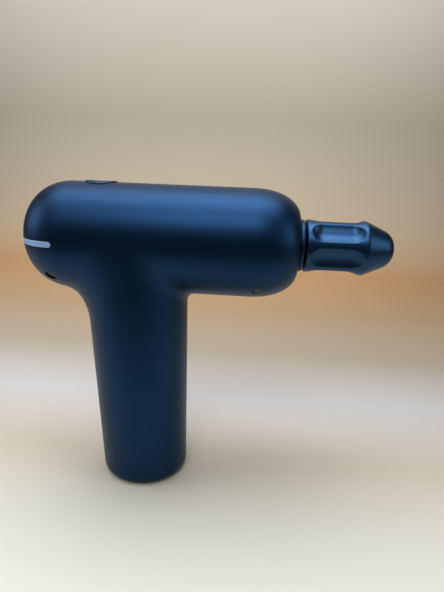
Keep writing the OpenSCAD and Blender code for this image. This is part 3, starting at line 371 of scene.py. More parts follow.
def rounded(corners, steps=6):
    # Outline through (radius, place, rounding) corners, each corner an arc-like quadratic
    corners = [np.array(c, float) for c in corners]
    out = []
    for i, c in enumerate(corners):
        if c[2] <= 0:
            out.append(c[:2])
            continue
        before = corners[i - 1][:2] - c[:2]
        after = corners[(i + 1) % len(corners)][:2] - c[:2]
        p0 = c[:2] + before / np.linalg.norm(before) * c[2]
        p2 = c[:2] + after / np.linalg.norm(after) * c[2]
        t = np.linspace(0, 1, steps)[:, None]
        out.extend(p0 * (1 - t) ** 2 + c[:2] * 2 * t * (1 - t) + p2 * t ** 2)
    return np.array(out)


def dress(item, body, slot, *replaced):
    # Gives a new piece its body, finish and the CAD nodes it stands for
    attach(item, body)
    if replaced:
        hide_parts(*replaced)
    item.data.materials.clear()
    item.data.materials.append(finishes[slot])
    return item


def cut(item, cutters):
    # Subtracts closed cutters one after another and leaves a plain mesh
    for cutter in cutters:
        step = item.modifiers.new("cut", "BOOLEAN")
        step.operation, step.solver, step.object = "DIFFERENCE", "EXACT", cutter
    graph = bpy.context.evaluated_depsgraph_get()
    mesh = bpy.data.meshes.new_from_object(item.evaluated_get(graph))
    item.modifiers.clear()
    old, item.data = item.data, mesh
    bpy.data.meshes.remove(old)


def join(parts, name):
    with bpy.context.temp_override(active_object=parts[0], selected_editable_objects=parts, selected_objects=parts):
        bpy.ops.object.join()
    parts[0].name = name
    return parts[0]


def remove(items):
    for item in items:
        mesh = item.data
        bpy.data.objects.remove(item)
        bpy.data.meshes.remove(mesh)

shell = dict(
    barrelR=25, axisH=121, rearMidX=-32, rearCap=23, rearFull=2.22,
    noseMidX=50.5, noseCap=21, noseFull=2.06, faceR=12.9, boreR=10.6,
    footR=21.4, topR=24.65, lean=4.4, footRound=4, padProud=0.4, floorTop=3.2,
    padT=1.5, padR=16.55, wall=2.2, innerRound=2,
    rearDrop=18.5, rearRun=11.2, frontBlend=5.6, blendPower=2.3,
    seamWidth=0.12, seamDepth=0.2, seamGap=0.03,
    joinLow=68.0, joinRear=-43.5, joinFront=29.5, joinCorner=118, joinSlim=0.975,
)
# How many rows or columns of points the parts of the shell have
shellRows = dict(under=48, over=30, rear=26, cap=13, middle=44, neck=14, nose=36, face=3, join=46, handle=36, foot=10)


def barrelDistance(p):
    # Distance from the barrel: a cylinder closed by two superellipse caps. Each cap's
    # value is (u^n + v^n)^(1/n) - 1, divided by the length of its gradient.
    s = shell
    x, rho = p[..., 0], np.hypot(p[..., 1], p[..., 2] - s["axisH"])

    def cap(u, uLen, v, vLen, n):
        u, v = np.maximum(u, 0), np.maximum(v, 0)
        q = np.maximum((u ** n + v ** n) ** (1 / n), 1e-6)
        slope = q ** (1 - n) * np.hypot(u ** (n - 1) / uLen, v ** (n - 1) / vLen)
        return (q - 1) / np.maximum(slope, 1e-6)

    span = s["barrelR"] - s["faceR"]
    rear = cap((s["rearMidX"] - x) / s["rearCap"], s["rearCap"],
               rho / s["barrelR"], s["barrelR"], s["rearFull"])
    nose = cap((x - s["noseMidX"]) / s["noseCap"], s["noseCap"],
               (rho - s["faceR"]) / span, span, s["noseFull"])
    return np.where(x < s["rearMidX"], rear, np.where(x > s["noseMidX"], nose, rho - s["barrelR"]))


def handleX(z):
    return -shell["lean"] * z / shell["axisH"]


def handleR(z):
    return shell["footR"] + (shell["topR"] - shell["footR"]) * z / shell["axisH"]


def handleDistance(p):
    # Distance from a leaning cone that ends at the level of the barrel's axis
    z = np.minimum(p[..., 2], shell["axisH"])
    return np.maximum(np.hypot(p[..., 0] - handleX(z), p[..., 1]) - handleR(z), p[..., 2] - shell["axisH"])


def gradient(field, p, step=0.01):
    # Central differences along the three axes
    shifts = np.eye(3) * step
    return np.stack([(field(p + d) - field(p - d)) / (2 * step) for d in shifts], axis=-1)


def unit(v):
    return v / np.maximum(np.linalg.norm(v, axis=-1, keepdims=True), 1e-9)


def shellField(p):
    # Smooth union of barrel and handle: a fillet that reaches further down the handle
    # and along the barrel behind than in front, and fades where the two run side by
    # side. It is the level 1 of max(0, 1 - a/ea)^k + max(0, 1 - b/eb)^k.
    s = shell
    a, b = barrelDistance(p), handleDistance(p)
    along = p[..., 0] - handleX(p[..., 2])
    side = np.maximum(np.hypot(along, p[..., 1]), 1e-6)
    rho = np.maximum(np.hypot(p[..., 1], p[..., 2] - s["axisH"]), 1e-6)
    back = 0.5 - 0.5 * along / side
    back = back * back * (3 - 2 * back)
    fade = np.sqrt(np.clip(1 - p[..., 1] ** 2 / (rho * side), 0.0004, 1))
    ea = (s["frontBlend"] + (s["rearDrop"] - s["frontBlend"]) * back) * fade
    eb = (s["frontBlend"] + (s["rearRun"] - s["frontBlend"]) * back) * fade
    k = s["blendPower"]
    total = np.maximum(0, 1 - a / ea) ** k + np.maximum(0, 1 - b / eb) ** k
    joined = (1 - total ** (1 / k)) * np.minimum(ea, eb)
    return np.where((a < ea) & (b < eb), joined, np.minimum(a, b))


def ontoShell(p, rounds=8):
    # Walks points along the gradient until they lie on the surface
    for _ in range(rounds):
        g = gradient(shellField, p)
        size = np.maximum(np.sum(g * g, axis=-1, keepdims=True), 0.05)
        p = p - np.clip(shellField(p)[..., None] * g / size, -2, 2)
    return p


def barrelPoint(x, rho, theta):
    # theta is 0 below, 90 degrees on the -Y side and 180 degrees on top
    return np.stack([x + 0 * theta, -rho * np.sin(theta), shell["axisH"] - rho * np.cos(theta)], axis=-1)


def resample(columns, reach, t):
    # Linear interpolation down every column at once: finds each column's bracket of t
    index = np.clip((reach[:, None, :] <= t[None, :, None]).sum(axis=0) - 1, 0, len(t) - 2)
    low = np.take_along_axis(reach, index, axis=0)
    high = np.take_along_axis(reach, index + 1, axis=0)
    w = np.clip((t[:, None] - low) / np.maximum(high - low, 1e-9), 0, 1)[..., None]
    a = np.take_along_axis(columns, index[..., None], axis=0)
    b = np.take_along_axis(columns, index[..., None] + 1, axis=0)
    return a * (1 - w) + b * w


def rearOutline(q):
    # Superellipse of the rear: q runs from 0 at the pole to 90 degrees at the barrel
    s = shell
    return (s["rearMidX"] - s["rearCap"] * np.cos(q) ** (2 / s["rearFull"]),
            s["barrelR"] * np.sin(q) ** (2 / s["rearFull"]))


def halfGrids():
    # The -Y half as grids that share their borders: top of the barrel, rear end, nose,
    # and the join that runs from the handle over the blend onto the barrel
    s, rows = shell, shellRows
    x0, x1, low, corner = s["joinRear"], s["joinFront"], s["joinLow"], math.radians(s["joinCorner"])
    seam = s["seamWidth"] / s["barrelR"]
    under = np.r_[0, np.linspace(seam, corner, rows["under"])]
    over = np.r_[np.linspace(corner, math.pi - seam, rows["over"]), math.pi]
    q0 = math.acos(((s["rearMidX"] - x0) / s["rearCap"]) ** (s["rearFull"] / 2))
    rearXs, rearRs = rearOutline(np.linspace(0, q0, rows["rear"]))
    capXs, capRs = rearOutline(np.linspace(q0, math.pi / 2, rows["cap"])[1:])
    midXs = np.r_[capXs, np.linspace(s["rearMidX"], x1, rows["middle"])[1:]]
    midRs = np.r_[capRs, np.full(rows["middle"] - 1, s["barrelR"])]
    q = np.linspace(0, math.pi / 2, rows["nose"])
    span = s["barrelR"] - s["faceR"]
    noseXs = np.r_[np.linspace(x1, s["noseMidX"], rows["neck"])[1:-1],
                   s["noseMidX"] + s["noseCap"] * np.sin(q) ** (2 / s["noseFull"]),
                   np.full(rows["face"], s["noseMidX"] + s["noseCap"])]
    noseRs = np.r_[np.full(rows["neck"] - 2, s["barrelR"]), s["faceR"] + span * np.cos(q) ** (2 / s["noseFull"]),
                   np.linspace(s["faceR"], s["boreR"], rows["face"] + 1)[1:]]

    def patch(xs, rs, thetas):
        return barrelPoint(xs[:, None], rs[:, None], thetas[None, :])

    top = patch(np.r_[rearXs, midXs, noseXs], np.r_[rearRs, midRs, noseRs], over)
    rear = patch(rearXs, rearRs, under)
    nose = patch(np.r_[x1, noseXs], np.r_[s["barrelR"], noseRs], under)
    # Border of the join on the barrel, walked from the front seam round to the rear one
    edgeX = np.r_[np.full(len(under), x1), midXs[::-1][1:], np.full(len(under), x0)]
    edgeT = np.r_[under, np.full(len(midXs) - 1, corner), under[::-1]]
    edgeR = np.r_[np.full(len(under), s["barrelR"]), midRs[::-1][1:], np.full(len(under), rearRs[-1])]
    edge = barrelPoint(edgeX, edgeR, edgeT)
    # Each border point gets the handle's angle on the same ray from the handle's axis,
    # with the barrel unrolled flat
    slim = s["joinSlim"]
    phis = np.linspace(0, math.pi, 721)
    rays = np.arctan2(np.arcsin(slim * np.sin(phis)), slim * np.cos(phis))
    centreX = handleX(s["axisH"] - s["barrelR"])
    phi = np.interp(np.arctan2(s["barrelR"] * edgeT, edgeX - centreX), rays, phis)
    theta = np.arcsin(slim * np.sin(phi))
    joinX = centreX + slim * s["barrelR"] * np.cos(phi)
    climb = s["axisH"] - s["barrelR"] * np.cos(theta) - low
    run = np.hypot(edgeX - joinX, s["barrelR"] * (edgeT - theta))
    t = np.linspace(0, 1, rows["join"])
    walked = t[:, None] * (climb + run)
    z = low + np.minimum(walked, climb)
    onWall = np.stack([handleX(z) + handleR(z) * np.cos(phi), -handleR(z) * np.sin(phi), z], axis=-1)
    share = np.clip((walked - climb) / run, 0, 1)
    onRoof = barrelPoint(joinX + (edgeX - joinX) * share, s["barrelR"], theta + (edgeT - theta) * share)
    joined = np.where((walked < climb)[..., None], onWall, onRoof)
    for _ in range(4):
        joined = ontoShell(joined)
        joined[-1] = edge
        steps = np.linalg.norm(np.diff(joined, axis=0), axis=-1)
        reach = np.vstack([np.zeros(len(phi)), np.cumsum(steps, axis=0)])
        joined = resample(joined, reach / reach[-1], t)
        joined[:, [0, -1], 1] = 0
    joined = ontoShell(joined)
    joined[:, [0, -1], 1] = 0
    joined[-1] = edge
    return dict(top=top, rear=rear, nose=nose, join=joined), phi


padSeat = dict(edge=0.2, innerR=8, floorRs=(15, 13, 11, 6, 0))


def footGrids(phi):
    # The handle below the blend, its rounded foot and the pad's recess, as matching
    # outer and inner rows of (radius, height, centre)
    s, seat, rows = shell, padSeat, shellRows
    r, low = s["footRound"], s["joinLow"]
    edgeZ, innerZ = s["padProud"] + r, s["floorTop"] + s["innerRound"]
    z = np.linspace(low, edgeZ, rows["handle"])[1:]
    zi = np.linspace(low, innerZ, rows["handle"])[1:]
    a = np.linspace(0, math.pi / 2, rows["foot"])[1:]
    bend = edgeZ - r * np.sin(a)
    outer = np.vstack([
        np.c_[handleR(z), z, handleX(z)],
        np.c_[handleR(edgeZ) - r * (1 - np.cos(a)), bend, handleX(edgeZ) * (bend - s["padProud"]) / r],
        [[s["padR"] + seat["edge"], s["padProud"], 0], [s["padR"], s["padProud"] + seat["edge"], 0],
         [s["padR"], s["padT"], 0], [seat["innerR"], s["padT"], 0], [0, s["padT"], 0]]])
    inner = np.vstack([
        np.c_[handleR(zi) - s["wall"], zi, handleX(zi)],
        np.c_[handleR(innerZ) - s["wall"] - s["innerRound"] * (1 - np.cos(a)),
              innerZ - s["innerRound"] * np.sin(a), handleX(innerZ) + 0 * a],
        [[r0, s["floorTop"], 0] for r0 in seat["floorRs"]]])

    def ring(rows):
        radius, height, centre = rows[:, :1], rows[:, 1:2], rows[:, 2:]
        return np.stack([centre + radius * np.cos(phi), -radius * np.sin(phi), height + 0 * phi], axis=-1)

    return ring(outer), ring(inner)


def halfShell():
    # One closed solid: outer skin, inner skin a wall's thickness inside, and the rims
    s = shell
    grids, phi = halfGrids()
    outers, inners, quads, count = [], [], [], 0
    for grid in grids.values():
        normal = unit(gradient(shellField, grid))
        faces = gridFaces(grid.shape[:2])
        flat = grid.reshape(-1, 3)
        facing = np.cross(flat[faces[:, 1]] - flat[faces[:, 0]], flat[faces[:, 3]] - flat[faces[:, 0]])
        if np.sum(facing * normal.reshape(-1, 3)[faces[:, 0]]) < 0:
            faces = faces[:, ::-1]
        outers.append(flat)
        inners.append((grid - s["wall"] * normal).reshape(-1, 3))
        quads.append(faces + count)
        count += len(flat)
    footOuter, footInner = footGrids(phi)
    first = grids["join"][:1]
    footOuter = np.vstack([first, footOuter])
    footInner = np.vstack([first - s["wall"] * unit(gradient(shellField, first)), footInner])
    outers.append(footOuter.reshape(-1, 3))
    inners.append(footInner.reshape(-1, 3))
    quads.append(gridFaces(footOuter.shape[:2]) + count)
    points, inside = np.vstack(outers), np.vstack(inners)
    keep, quads, triangles = weld(points, np.vstack(quads))
    points, inside = points[keep], inside[keep]
    inside[np.abs(points[:, 1]) < 1e-6, 1] = 0
    # An edge that only one face uses lies on the rim
    ends = np.vstack([np.stack([f, np.roll(f, -1, axis=1)], axis=-1).reshape(-1, 2) for f in (quads, triangles)])
    pair = np.sort(ends, axis=1)
    _, index, uses = np.unique(pair, axis=0, return_index=True, return_counts=True)
    rim = ends[index[uses == 1]]
    n = len(points)
    onSeam = np.abs(points[:, 1]) < 1e-6
    outside = points.copy()
    outside[onSeam] += unit(inside - points)[onSeam] * s["seamDepth"]
    both = np.vstack([outside, inside])
    both[:n][onSeam, 1] = -s["seamGap"]  # closes at the inner skin, so no light passes
    both[n:][onSeam, 1] = 0
    walls = np.c_[rim[:, 1], rim[:, 0], rim[:, 0] + n, rim[:, 1] + n]
    return both, np.vstack([quads, quads[:, ::-1] + n, walls]), np.vstack([triangles, triangles[:, ::-1] + n])


openings = dict(
    buttonX=-20, buttonHoleR=7.5, lightH=2.6, lightZ=119.5, lightEndX=-34.6,
    portX=-46.40982774535661, portZ=100.46882229326573, portAngle=52, portW=11.5, portH=6, portDepth=8,
    plugX=53.7, plugAngle=50, plugR=2.3, plugDepth=1.75,
    rearPlugX=-38.8, rearPlugY=17.6, rearPlugZ=104.6, rearPlugR=2.6, rearPlugDepth=1.6,
)


def prism(name, outline, low, high, axis, centre):
    # Closed outline of (a, b) pairs carried along an axis between two places
    outline = np.asarray(outline, float)
    n = len(outline)
    a, b = outline.T
    far = [np.full(n, low), np.full(n, high)]
    order = [dict(z=(a, b, h), y=(a, h, b))[axis] for h in far]
    points = np.vstack([np.stack(o, axis=-1) for o in order]) + np.asarray(centre, float)
    i = np.arange(n)
    sides = np.c_[i, (i + 1) % n, (i + 1) % n + n, i + n]
    if axis == "y":
        sides = sides[:, ::-1]
    caps = [i[::-1], i + n] if axis == "z" else [i, i[::-1] + n]
    faces = [*sides.tolist(), *[c.tolist() for c in caps]]
    mesh = bpy.data.meshes.new(name)
    mesh.from_pydata((points * 0.001).tolist(), [], faces)
    item = bpy.data.objects.new(name, mesh)
    bpy.context.scene.collection.objects.link(item)
    return item


def circle(radius, steps=64, start=0.0, end=2 * math.pi, centre=(0, 0), whole=True):
    a = np.linspace(start, end, steps + (0 if whole else 1), endpoint=not whole)
    return np.c_[centre[0] + radius * np.cos(a), centre[1] + radius * np.sin(a)]


def stadium(w, h, steps=24):
    # Long way w runs along the second axis
    half = (w - h) / 2
    return np.vstack([circle(h / 2, steps, 0, math.pi, (0, half), False),
                      circle(h / 2, steps, math.pi, 2 * math.pi, (0, -half), False)])


def turned(points, direction, place):
    # Carries points whose +Z is a piece's own outward axis to their place on the housing
    out = unit(np.asarray(direction, float))
    side = unit(np.cross([0, 1, 0] if abs(out[1]) < 0.9 else [1, 0, 0], out))
    return np.asarray(points) @ np.stack([side, np.cross(out, side), out]) + np.asarray(place, float)


def turnMesh(item, direction, place):
    mesh = item.data
    flat = np.empty(len(mesh.vertices) * 3)
    mesh.vertices.foreach_get("co", flat)
    flat = turned(flat.reshape(-1, 3) * 1000, direction, place) * 0.001
    mesh.vertices.foreach_set("co", flat.ravel())
    mesh.update()
    return item


def portAxis():
    a = math.radians(openings["portAngle"])
    return (-math.cos(a), 0, -math.sin(a)), (openings["portX"], 0, openings["portZ"])


def plugAxis(sign):
    a = math.radians(openings["plugAngle"])
    out = np.array([0, sign * math.cos(a), -math.sin(a)])
    return out, np.array([openings["plugX"], 0, shell["axisH"]]) + out * shell["barrelR"]


def rearPlugAxis(sign):
    # Outward direction and place of the second plug, low on the side of the rear end
    near = np.array([openings["rearPlugX"], sign * openings["rearPlugY"], openings["rearPlugZ"]])
    place = ontoShell(near[None])[0]
    return unit(gradient(shellField, place[None]))[0], place


def blindHole(name, outline, depth, above, direction, place):
    # A cutter that reaches a depth into the housing and stands a little above it
    return turnMesh(prism(name, outline, -depth, above, "z", (0, 0, 0)), direction, place)


def makeHousing():
    o = openings
    r = o["lightH"] / 2
    bar = np.vstack([circle(r, 24, -math.pi / 2, math.pi / 2, (o["lightEndX"] - r, 0), False), [[-70, r], [-70, -r]]])
    cutters = [
        prism("buttonHole", circle(o["buttonHoleR"], 128), 133, 150, "z", (o["buttonX"], 0, 0)),
        prism("lightSlot", bar, -30, 30, "y", (0, 0, o["lightZ"])),
        blindHole("portHole", stadium(o["portW"], o["portH"]), o["portDepth"], 6, *portAxis()),
    ]
    plugs = {sign: [blindHole("plugHole", circle(o["plugR"], 48), o["plugDepth"], 3, *plugAxis(sign)),
                    blindHole("rearPlugHole", circle(o["rearPlugR"], 48), o["rearPlugDepth"], 3, *rearPlugAxis(sign))]
             for sign in (-1, 1)}
    points, quads, triangles = halfShell()
    for sign, name, node in ((-1, "housingRight", "right_shell"), (1, "housingLeft", "left_shell")):
        if sign > 0:
            points = points * [1, -1, 1]
            quads, triangles = quads[:, ::-1], triangles[:, ::-1]
        half = makeMesh(name, points, quads, triangles, 35)
        cut(half, [*cutters, *plugs[sign]])
        smooth(half, 30)
        dress(half, "housing", "soft_navy", node)
        print(name, "faces:", len(half.data.polygons))
    remove([*cutters, *plugs[-1], *plugs[1]])


makeHousing()
print("housing made")

lightBar = dict(gap=0.05, sunk=0.03, thick=1.6, edgeDrop=0.12, edgeFrom=0.8, rows=15, endSteps=9, wrapSteps=60)


def barrelRadius(x):
    s = shell
    u = np.clip((s["rearMidX"] - x) / s["rearCap"], 0, 1)
    return s["barrelR"] * (1 - u ** s["rearFull"]) ** (1 / s["rearFull"])


def makeLightBar():
    # Strip of the barrel's own surface between two heights: columns follow the rear
    # outline from the right end round to the left one, and each end closes as a half circle
    o, s, b = openings, shell, lightBar
    r = o["lightH"] / 2 - b["gap"]
    tip = o["lightEndX"] - b["gap"]
    t = np.linspace(-1, 1, b["rows"])
    a = np.linspace(0, math.pi / 2, b["endSteps"])
    endX, endW = tip - r * (1 - np.cos(a)), np.sin(a)
    dz = o["lightZ"] - s["axisH"] + r * t[None, :] * endW[:, None]
    y = -np.sqrt(barrelRadius(endX)[:, None] ** 2 - dz ** 2)
    ends = np.stack([endX[:, None] + 0 * dz, y, s["axisH"] + dz], axis=-1)
    rowZ = o["lightZ"] - s["axisH"] + r * t
    qStart = math.asin((barrelRadius(np.array([endX[-1]]))[0] / s["barrelR"]) ** (s["rearFull"] / 2))
    qEnd = np.arcsin((np.abs(rowZ) / s["barrelR"]) ** (s["rearFull"] / 2))
    f = np.linspace(0, 1, b["wrapSteps"])[1:, None]
    q = qStart + (qEnd - qStart)[None, :] * f
    x, rho = rearOutline(q)
    side = np.stack([x, -np.sqrt(np.maximum(rho ** 2 - rowZ ** 2, 0)), s["axisH"] + rowZ + 0 * x], axis=-1)
    side[-1, :, 1] = 0
    right = np.vstack([ends, side])
    grid = np.vstack([right, right[-2::-1] * [1, -1, 1]])
    normal = unit(gradient(barrelDistance, grid))
    edge = np.maximum(0, (np.abs(t) - b["edgeFrom"]) / (1 - b["edgeFrom"])) ** 2
    outer = grid - normal * (b["sunk"] + b["edgeDrop"] * edge)[None, :, None]
    inner = grid - normal * b["thick"]
    loop = np.concatenate([outer, inner[:, ::-1]], axis=1)
    loop = np.concatenate([loop, loop[:, :1]], axis=1)
    points = loop.reshape(-1, 3)
    first, quads, triangles = weld(points, gridFaces(loop.shape[:2]))
    dress(makeMesh("lightBar", points[first], quads, triangles, 50), "housing", "light_guide", "light_bar")


makeLightBar()
print("light bar made")

button = dict(x=-20, r=7.2, proud=0.5, round=0.4, dishR=5.6, dish=0.12,
              lipR=8.3, lipTop=142.1, lipT=0.8, stemR=2, stemEnd=141.1)


def makeButton():
    # Disc whose top follows the barrel: rows of (radius, drop below the barrel's curve),
    # then rows at fixed heights for the hidden lip
    b, s = button, shell
    phi = np.linspace(0, 2 * math.pi, 129)
    a = np.linspace(0, math.pi / 2, 7)
    flat = np.linspace(0, b["r"] - b["round"], 22)
    dish = b["dish"] * np.clip(1 - (flat / b["dishR"]) ** 2, 0, 1) ** 2
    r = np.r_[flat, b["r"] - b["round"] + b["round"] * np.sin(a[1:])]
    drop = np.r_[dish, b["round"] * (1 - np.cos(a[1:]))]
    x, y = b["x"] + r[:, None] * np.cos(phi), r[:, None] * np.sin(phi)
    z = s["axisH"] + np.sqrt((s["barrelR"] + b["proud"]) ** 2 - y ** 2) - drop[:, None]
    lipEnd = b["lipTop"] - b["lipT"]
    low = np.array([[b["r"], b["lipTop"]], [b["lipR"], b["lipTop"]], [b["lipR"], lipEnd], [b["stemR"], lipEnd],
                    [b["stemR"], b["stemEnd"]], [0, b["stemEnd"]]])
    lower = np.stack([b["x"] + low[:, :1] * np.cos(phi), low[:, :1] * np.sin(phi), low[:, 1:] + 0 * phi], axis=-1)
    grid = np.vstack([np.stack([x, y, z], axis=-1), lower])
    points = grid.reshape(-1, 3)
    first, quads, triangles = weld(points, gridFaces(grid.shape[:2], True))
    item = makeMesh("powerButton", points[first], quads, triangles, 35)
    dress(item, "power_button", "soft_navy", "power_button")


makeButton()


plugForm = dict(bevel=0.07, crown=0.12, rollOff=0.1, rim=0.33, thick=0.78)


def makePlugs(name, axis, radius, sunk, slot, *node):
    # A pair of shallow domed plugs with a rounded edge, one on each side. With t from 0
    # in the middle to 1 at the edge, the top falls by crown t^2 + rollOff t^8.
    p = plugForm
    a = np.linspace(0, radius - p["bevel"], 10)
    t = a / (radius - p["bevel"])
    dome = np.c_[a, -sunk - p["crown"] * t ** 2 - p["rollOff"] * t ** 8]
    outline = np.vstack([dome, [[radius, -sunk - p["rim"]], [radius, -sunk - p["thick"]], [0, -sunk - p["thick"]]]])
    parts = [turnMesh(lathe("plug", outline, (0, 0, 0), "z", 64), *axis(sign)) for sign in (-1, 1)]
    dress(join(parts, name), "housing", slot, *node)


makePlugs("screwPlugs", plugAxis, 2.22, 0.22, "black_plastic", "screw_plugs")
makePlugs("rearPlugs", rearPlugAxis, 2.54, 0.8, "black_plastic")

noseRing = dict(bore=7.8, bodyR=10.58, flangeR=11.9, back=67.3, flange=72.0, front=73.6)


def makeNoseRing():
    n = noseRing
    outline = rounded([(n["bore"], n["back"], 0), (n["bodyR"], n["back"], 0.2), (n["bodyR"], n["flange"], 0.15),
                       (n["flangeR"], n["flange"], 0.2), (n["flangeR"], n["front"], 0.45), (n["bore"], n["front"], 0.3)])
    outline = np.vstack([outline, outline[:1]])
    dress(lathe("noseRing", outline, (0, 0, shell["axisH"]), "x", 160), "housing", "soft_navy", "nose_ring")


makeNoseRing()
pad = dict(r=16.5, thick=1.5)
padOutline = rounded([(0, 0, 0), (pad["r"], 0, 0.5), (pad["r"], pad["thick"], 0.2), (0, pad["thick"], 0)])
dress(lathe("footPad", padOutline, (0, 0, 0), "z", 128), "housing", "black_rubber", "foot_pad")
print("button, plugs, ring and pad made")

head = dict(x=74.3, r=12.0, flareR=12.4, flareFrom=22, flareAt=26.6, flareRound=0.12,
            coneFrom=28.0, coneDrop=0.45, coneSlope=0.45, coneLen=7.4, length=40.4,
            flutes=6, fluteTurn=49, fluteFrom=2.3, fluteTo=25.2, fluteW=9.4, cutR=10.0, endStretch=1.12, rim=0.10,
            columns=312)
# The body's drop below its full radius, at places from its back face
headBody = dict(places=(0.25, 0.6, 0.95, 13, 21, 22), drops=(0.32, 0.1, 0, 0.1, 0.11, 0.08))


def headOutline():
    # (radius, distance from the back face): plain body, slight waist, rounded flare,
    # straight cone and a dome that carries the cone's slope on to a square tip
    h = head
    places, drops = headBody["places"], headBody["drops"]
    start = h["flareFrom"]
    bodyS = np.r_[places[:3], np.linspace(1.2, start, 96)]
    bodyR = np.interp(bodyS, places, [h["r"] - drop for drop in drops])
    t = np.linspace(0, 1, 26)[1:]
    flareS = start + (h["coneFrom"] + 1.2 - start) * t
    coneR0 = h["flareR"] - h["coneDrop"]
    way = np.clip((flareS - start) / (h["flareAt"] - start), 0, 1)
    rise = h["r"] - drops[-1] + (h["flareR"] - h["r"] + drops[-1]) * way ** 2 * (3 - 2 * way)
    fall = coneR0 - h["coneSlope"] * (flareS - h["coneFrom"])
    k = h["flareRound"]
    flareR = -k * np.log(np.exp(-rise / k) + np.exp(-fall / k))
    coneS = np.linspace(h["coneFrom"] + 1.2, h["coneFrom"] + h["coneLen"], 14)[1:]
    coneR = coneR0 - h["coneSlope"] * (coneS - h["coneFrom"])
    end, side = coneR[-1], coneR[-1] - h["coneSlope"] * (h["length"] - coneS[-1])
    q = np.linspace(0, 1, 30)[1:]
    domeR = end * (1 - q) ** 2 + side * 2 * q * (1 - q)
    domeS = coneS[-1] * (1 - q) ** 2 + h["length"] * (2 * q * (1 - q) + q * q)
    return np.r_[bodyR, flareR, coneR, domeR], np.r_[bodyS, flareS, coneS, domeS]


def makeHead():
    # Radius over (distance, angle): the outline, hollowed where a rounded cutter beside
    # the head reaches in, with the two blended over a small rim
    h = head
    r, d = headOutline()
    theta = np.linspace(0, 2 * math.pi, h["columns"] + 1)
    pitch = 2 * math.pi / h["flutes"]
    beta = (theta - math.radians(h["fluteTurn"]) + pitch / 2) % pitch - pitch / 2
    halfW = h["fluteW"] / 2
    reach = math.sqrt(h["r"] ** 2 - halfW ** 2) + math.sqrt(h["cutR"] ** 2 - halfW ** 2)
    axial = math.sqrt(h["cutR"] ** 2 - (reach - h["r"]) ** 2)
    roundEnd = halfW * h["endStretch"]
    beyond = np.maximum(h["fluteFrom"] + roundEnd - d, d - h["fluteTo"] + roundEnd)
    past = np.maximum(0, beyond) * axial / roundEnd
    room = h["cutR"] ** 2 - past[:, None] ** 2 - (reach * np.sin(beta))[None, :] ** 2
    nowhere = 99  # where the cutter doesn't reach, its floor is out of the way
    floor = np.where(room > 0, reach * np.cos(beta)[None, :] - np.sqrt(np.maximum(room, 0)), nowhere)
    k = h["rim"]
    low = np.minimum(r[:, None], floor)
    fluted = d[:, None] < h["coneFrom"] - 1
    radius = low - k * np.log(np.exp(-(r[:, None] - low) / k) + np.exp(-np.minimum(floor - low, 50) / k)) * fluted
    # Local angle is measured from straight down towards -Y, as the CAD turns its flutes
    back = np.array([[0, 0], [7.6, 0], [8, 0.35], [h["r"] - 0.62, 0.02]])
    radius = np.vstack([np.repeat(back[:, :1], len(theta), axis=1), radius])
    d = np.r_[back[:, 1], d]
    radius[-1] = 0
    x = h["x"] + d[:, None] + 0 * radius
    grid = np.stack([x, radius * np.sin(theta), shell["axisH"] - radius * np.cos(theta)], axis=-1)
    points = grid.reshape(-1, 3)
    first, quads, triangles = weld(points, gridFaces(grid.shape[:2]))
    item = makeMesh("massageHead", points[first], quads, triangles, 60)
    dress(item, "massage_head", "anodised_blue", "massage_head")


makeHead()

# Two grooves with a ring in each; grooves run from the first place to the second
stem = dict(r=5, grooveR=4.2, grooves=((-14.1, -11.9), (-6.1, -3.9)), end=-22, flangeR=7.9, flange=(0.4, 1.9))
rings = dict(places=(5, 13), centreR=4.25, wireR=0.88, steps=25)


def makeStem():
    m = stem
    outline = [(0, m["end"], 0), (m["r"] - 0.3, m["end"], 0.3), (m["r"], m["end"] + 0.6, 0.2)]
    for start, stop in m["grooves"]:
        outline += [(m["r"], start, 0.1), (m["grooveR"], start + 0.1, 0.1),
                    (m["grooveR"], stop - 0.1, 0.1), (m["r"], stop, 0.1)]
    low, high = m["flange"]
    outline += [(m["r"], low, 0.2), (m["flangeR"], low, 0.2), (m["flangeR"], high, 0.2), (0, high, 0)]
    item = lathe("headStem", rounded(outline, 4), (head["x"], 0, shell["axisH"]), "x", 96)
    dress(item, "massage_head", "black_plastic", "head_stem")


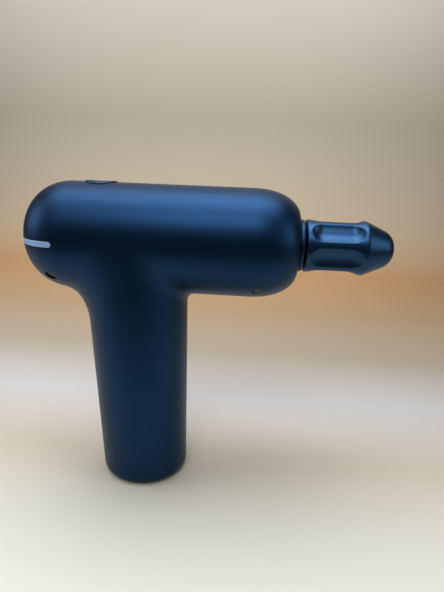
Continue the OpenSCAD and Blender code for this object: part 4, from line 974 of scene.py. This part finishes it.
def makeRings():
    g = rings
    a = np.linspace(0, 2 * math.pi, g["steps"])
    made = []
    for d in g["places"]:
        outline = np.c_[g["centreR"] + g["wireR"] * np.cos(a), -d + g["wireR"] * np.sin(a)]
        made.append(lathe("oRing", outline, (head["x"], 0, shell["axisH"]), "x", 96))
    dress(join(made, "stemRings"), "massage_head", "black_rubber", "stem_o_rings")


makeStem()
makeRings()
print("massage head made")

for name, item in nodes.items():
    item.data.materials.clear()
    item.data.materials.append(finishes[slotOf[name]])
print("CAD nodes dressed:", len(nodes))

# The paper's colours carry painted light: the dark stop at -0.30 is painted shade on the floor in front, the stop at
# 0.01 is a painted shadow round the object's foot, and the darker brown stops from 0.075 to 0.62 are painted shade
# behind the object and low on the backdrop, which pales higher up
stage = dict(front=-8.0, back=0.66, width=24.0, curve=0.26, height=1.8,
             colours=((-1.0, (0.85, 0.84, 0.81)), (-0.30, (0.20, 0.18, 0.15)),
                      (-0.085, (0.80, 0.76, 0.66)), (0.01, (0.50, 0.42, 0.33)), (0.075, (0.44, 0.40, 0.38)),
                      (0.16, (0.30, 0.235, 0.17)), (0.30, (0.30, 0.19, 0.105)), (0.48, (0.36, 0.20, 0.095)),
                      (0.62, (0.44, 0.33, 0.22)),
                      (0.88, (0.54, 0.49, 0.41)), (1.10, (0.68, 0.66, 0.60))))


def makeStage():
    # Floor that bends up into a backdrop: a profile carried along X. The paper's colour
    # changes along the profile, whose length so far is y on the floor and then y + z;
    # its darker stops add painted shade and a painted shadow to the warm paper
    s = stage
    a = np.linspace(0, math.pi / 2, 24)
    y = np.r_[s["front"], s["back"] - s["curve"] + s["curve"] * np.sin(a), s["back"]]
    z = np.r_[0, s["curve"] * (1 - np.cos(a)), s["height"]]
    x = np.array([-s["width"] / 2, s["width"] / 2])
    x, y, z = np.broadcast_arrays(x[None, :], y[:, None], z[:, None])
    grid = np.stack([x, y, z], axis=-1) * 1000
    item = makeMesh("sweep", grid.reshape(-1, 3), gridFaces(grid.shape[:2], True), (), 80, False)
    f = Finish("paperWithPaintedShade", Roughness=0.9, Specular_IOR_Level=0.2)
    place = f.node("ShaderNodeSeparateXYZ", None, {0: f.node("ShaderNodeTexCoord", output=3)}, 1)
    height = Term(f, place.socket.node.outputs[2])
    first, last = s["colours"][0][0], s["colours"][-1][0]
    stops = [((at - first) / (last - first), colour) for at, colour in s["colours"]]
    shade = f.node("ShaderNodeValToRGB", dict(stops=stops), {0: (place + height - first) / (last - first)})
    item.data.materials.append(f.feed(Base_Color=shade))


makeStage()
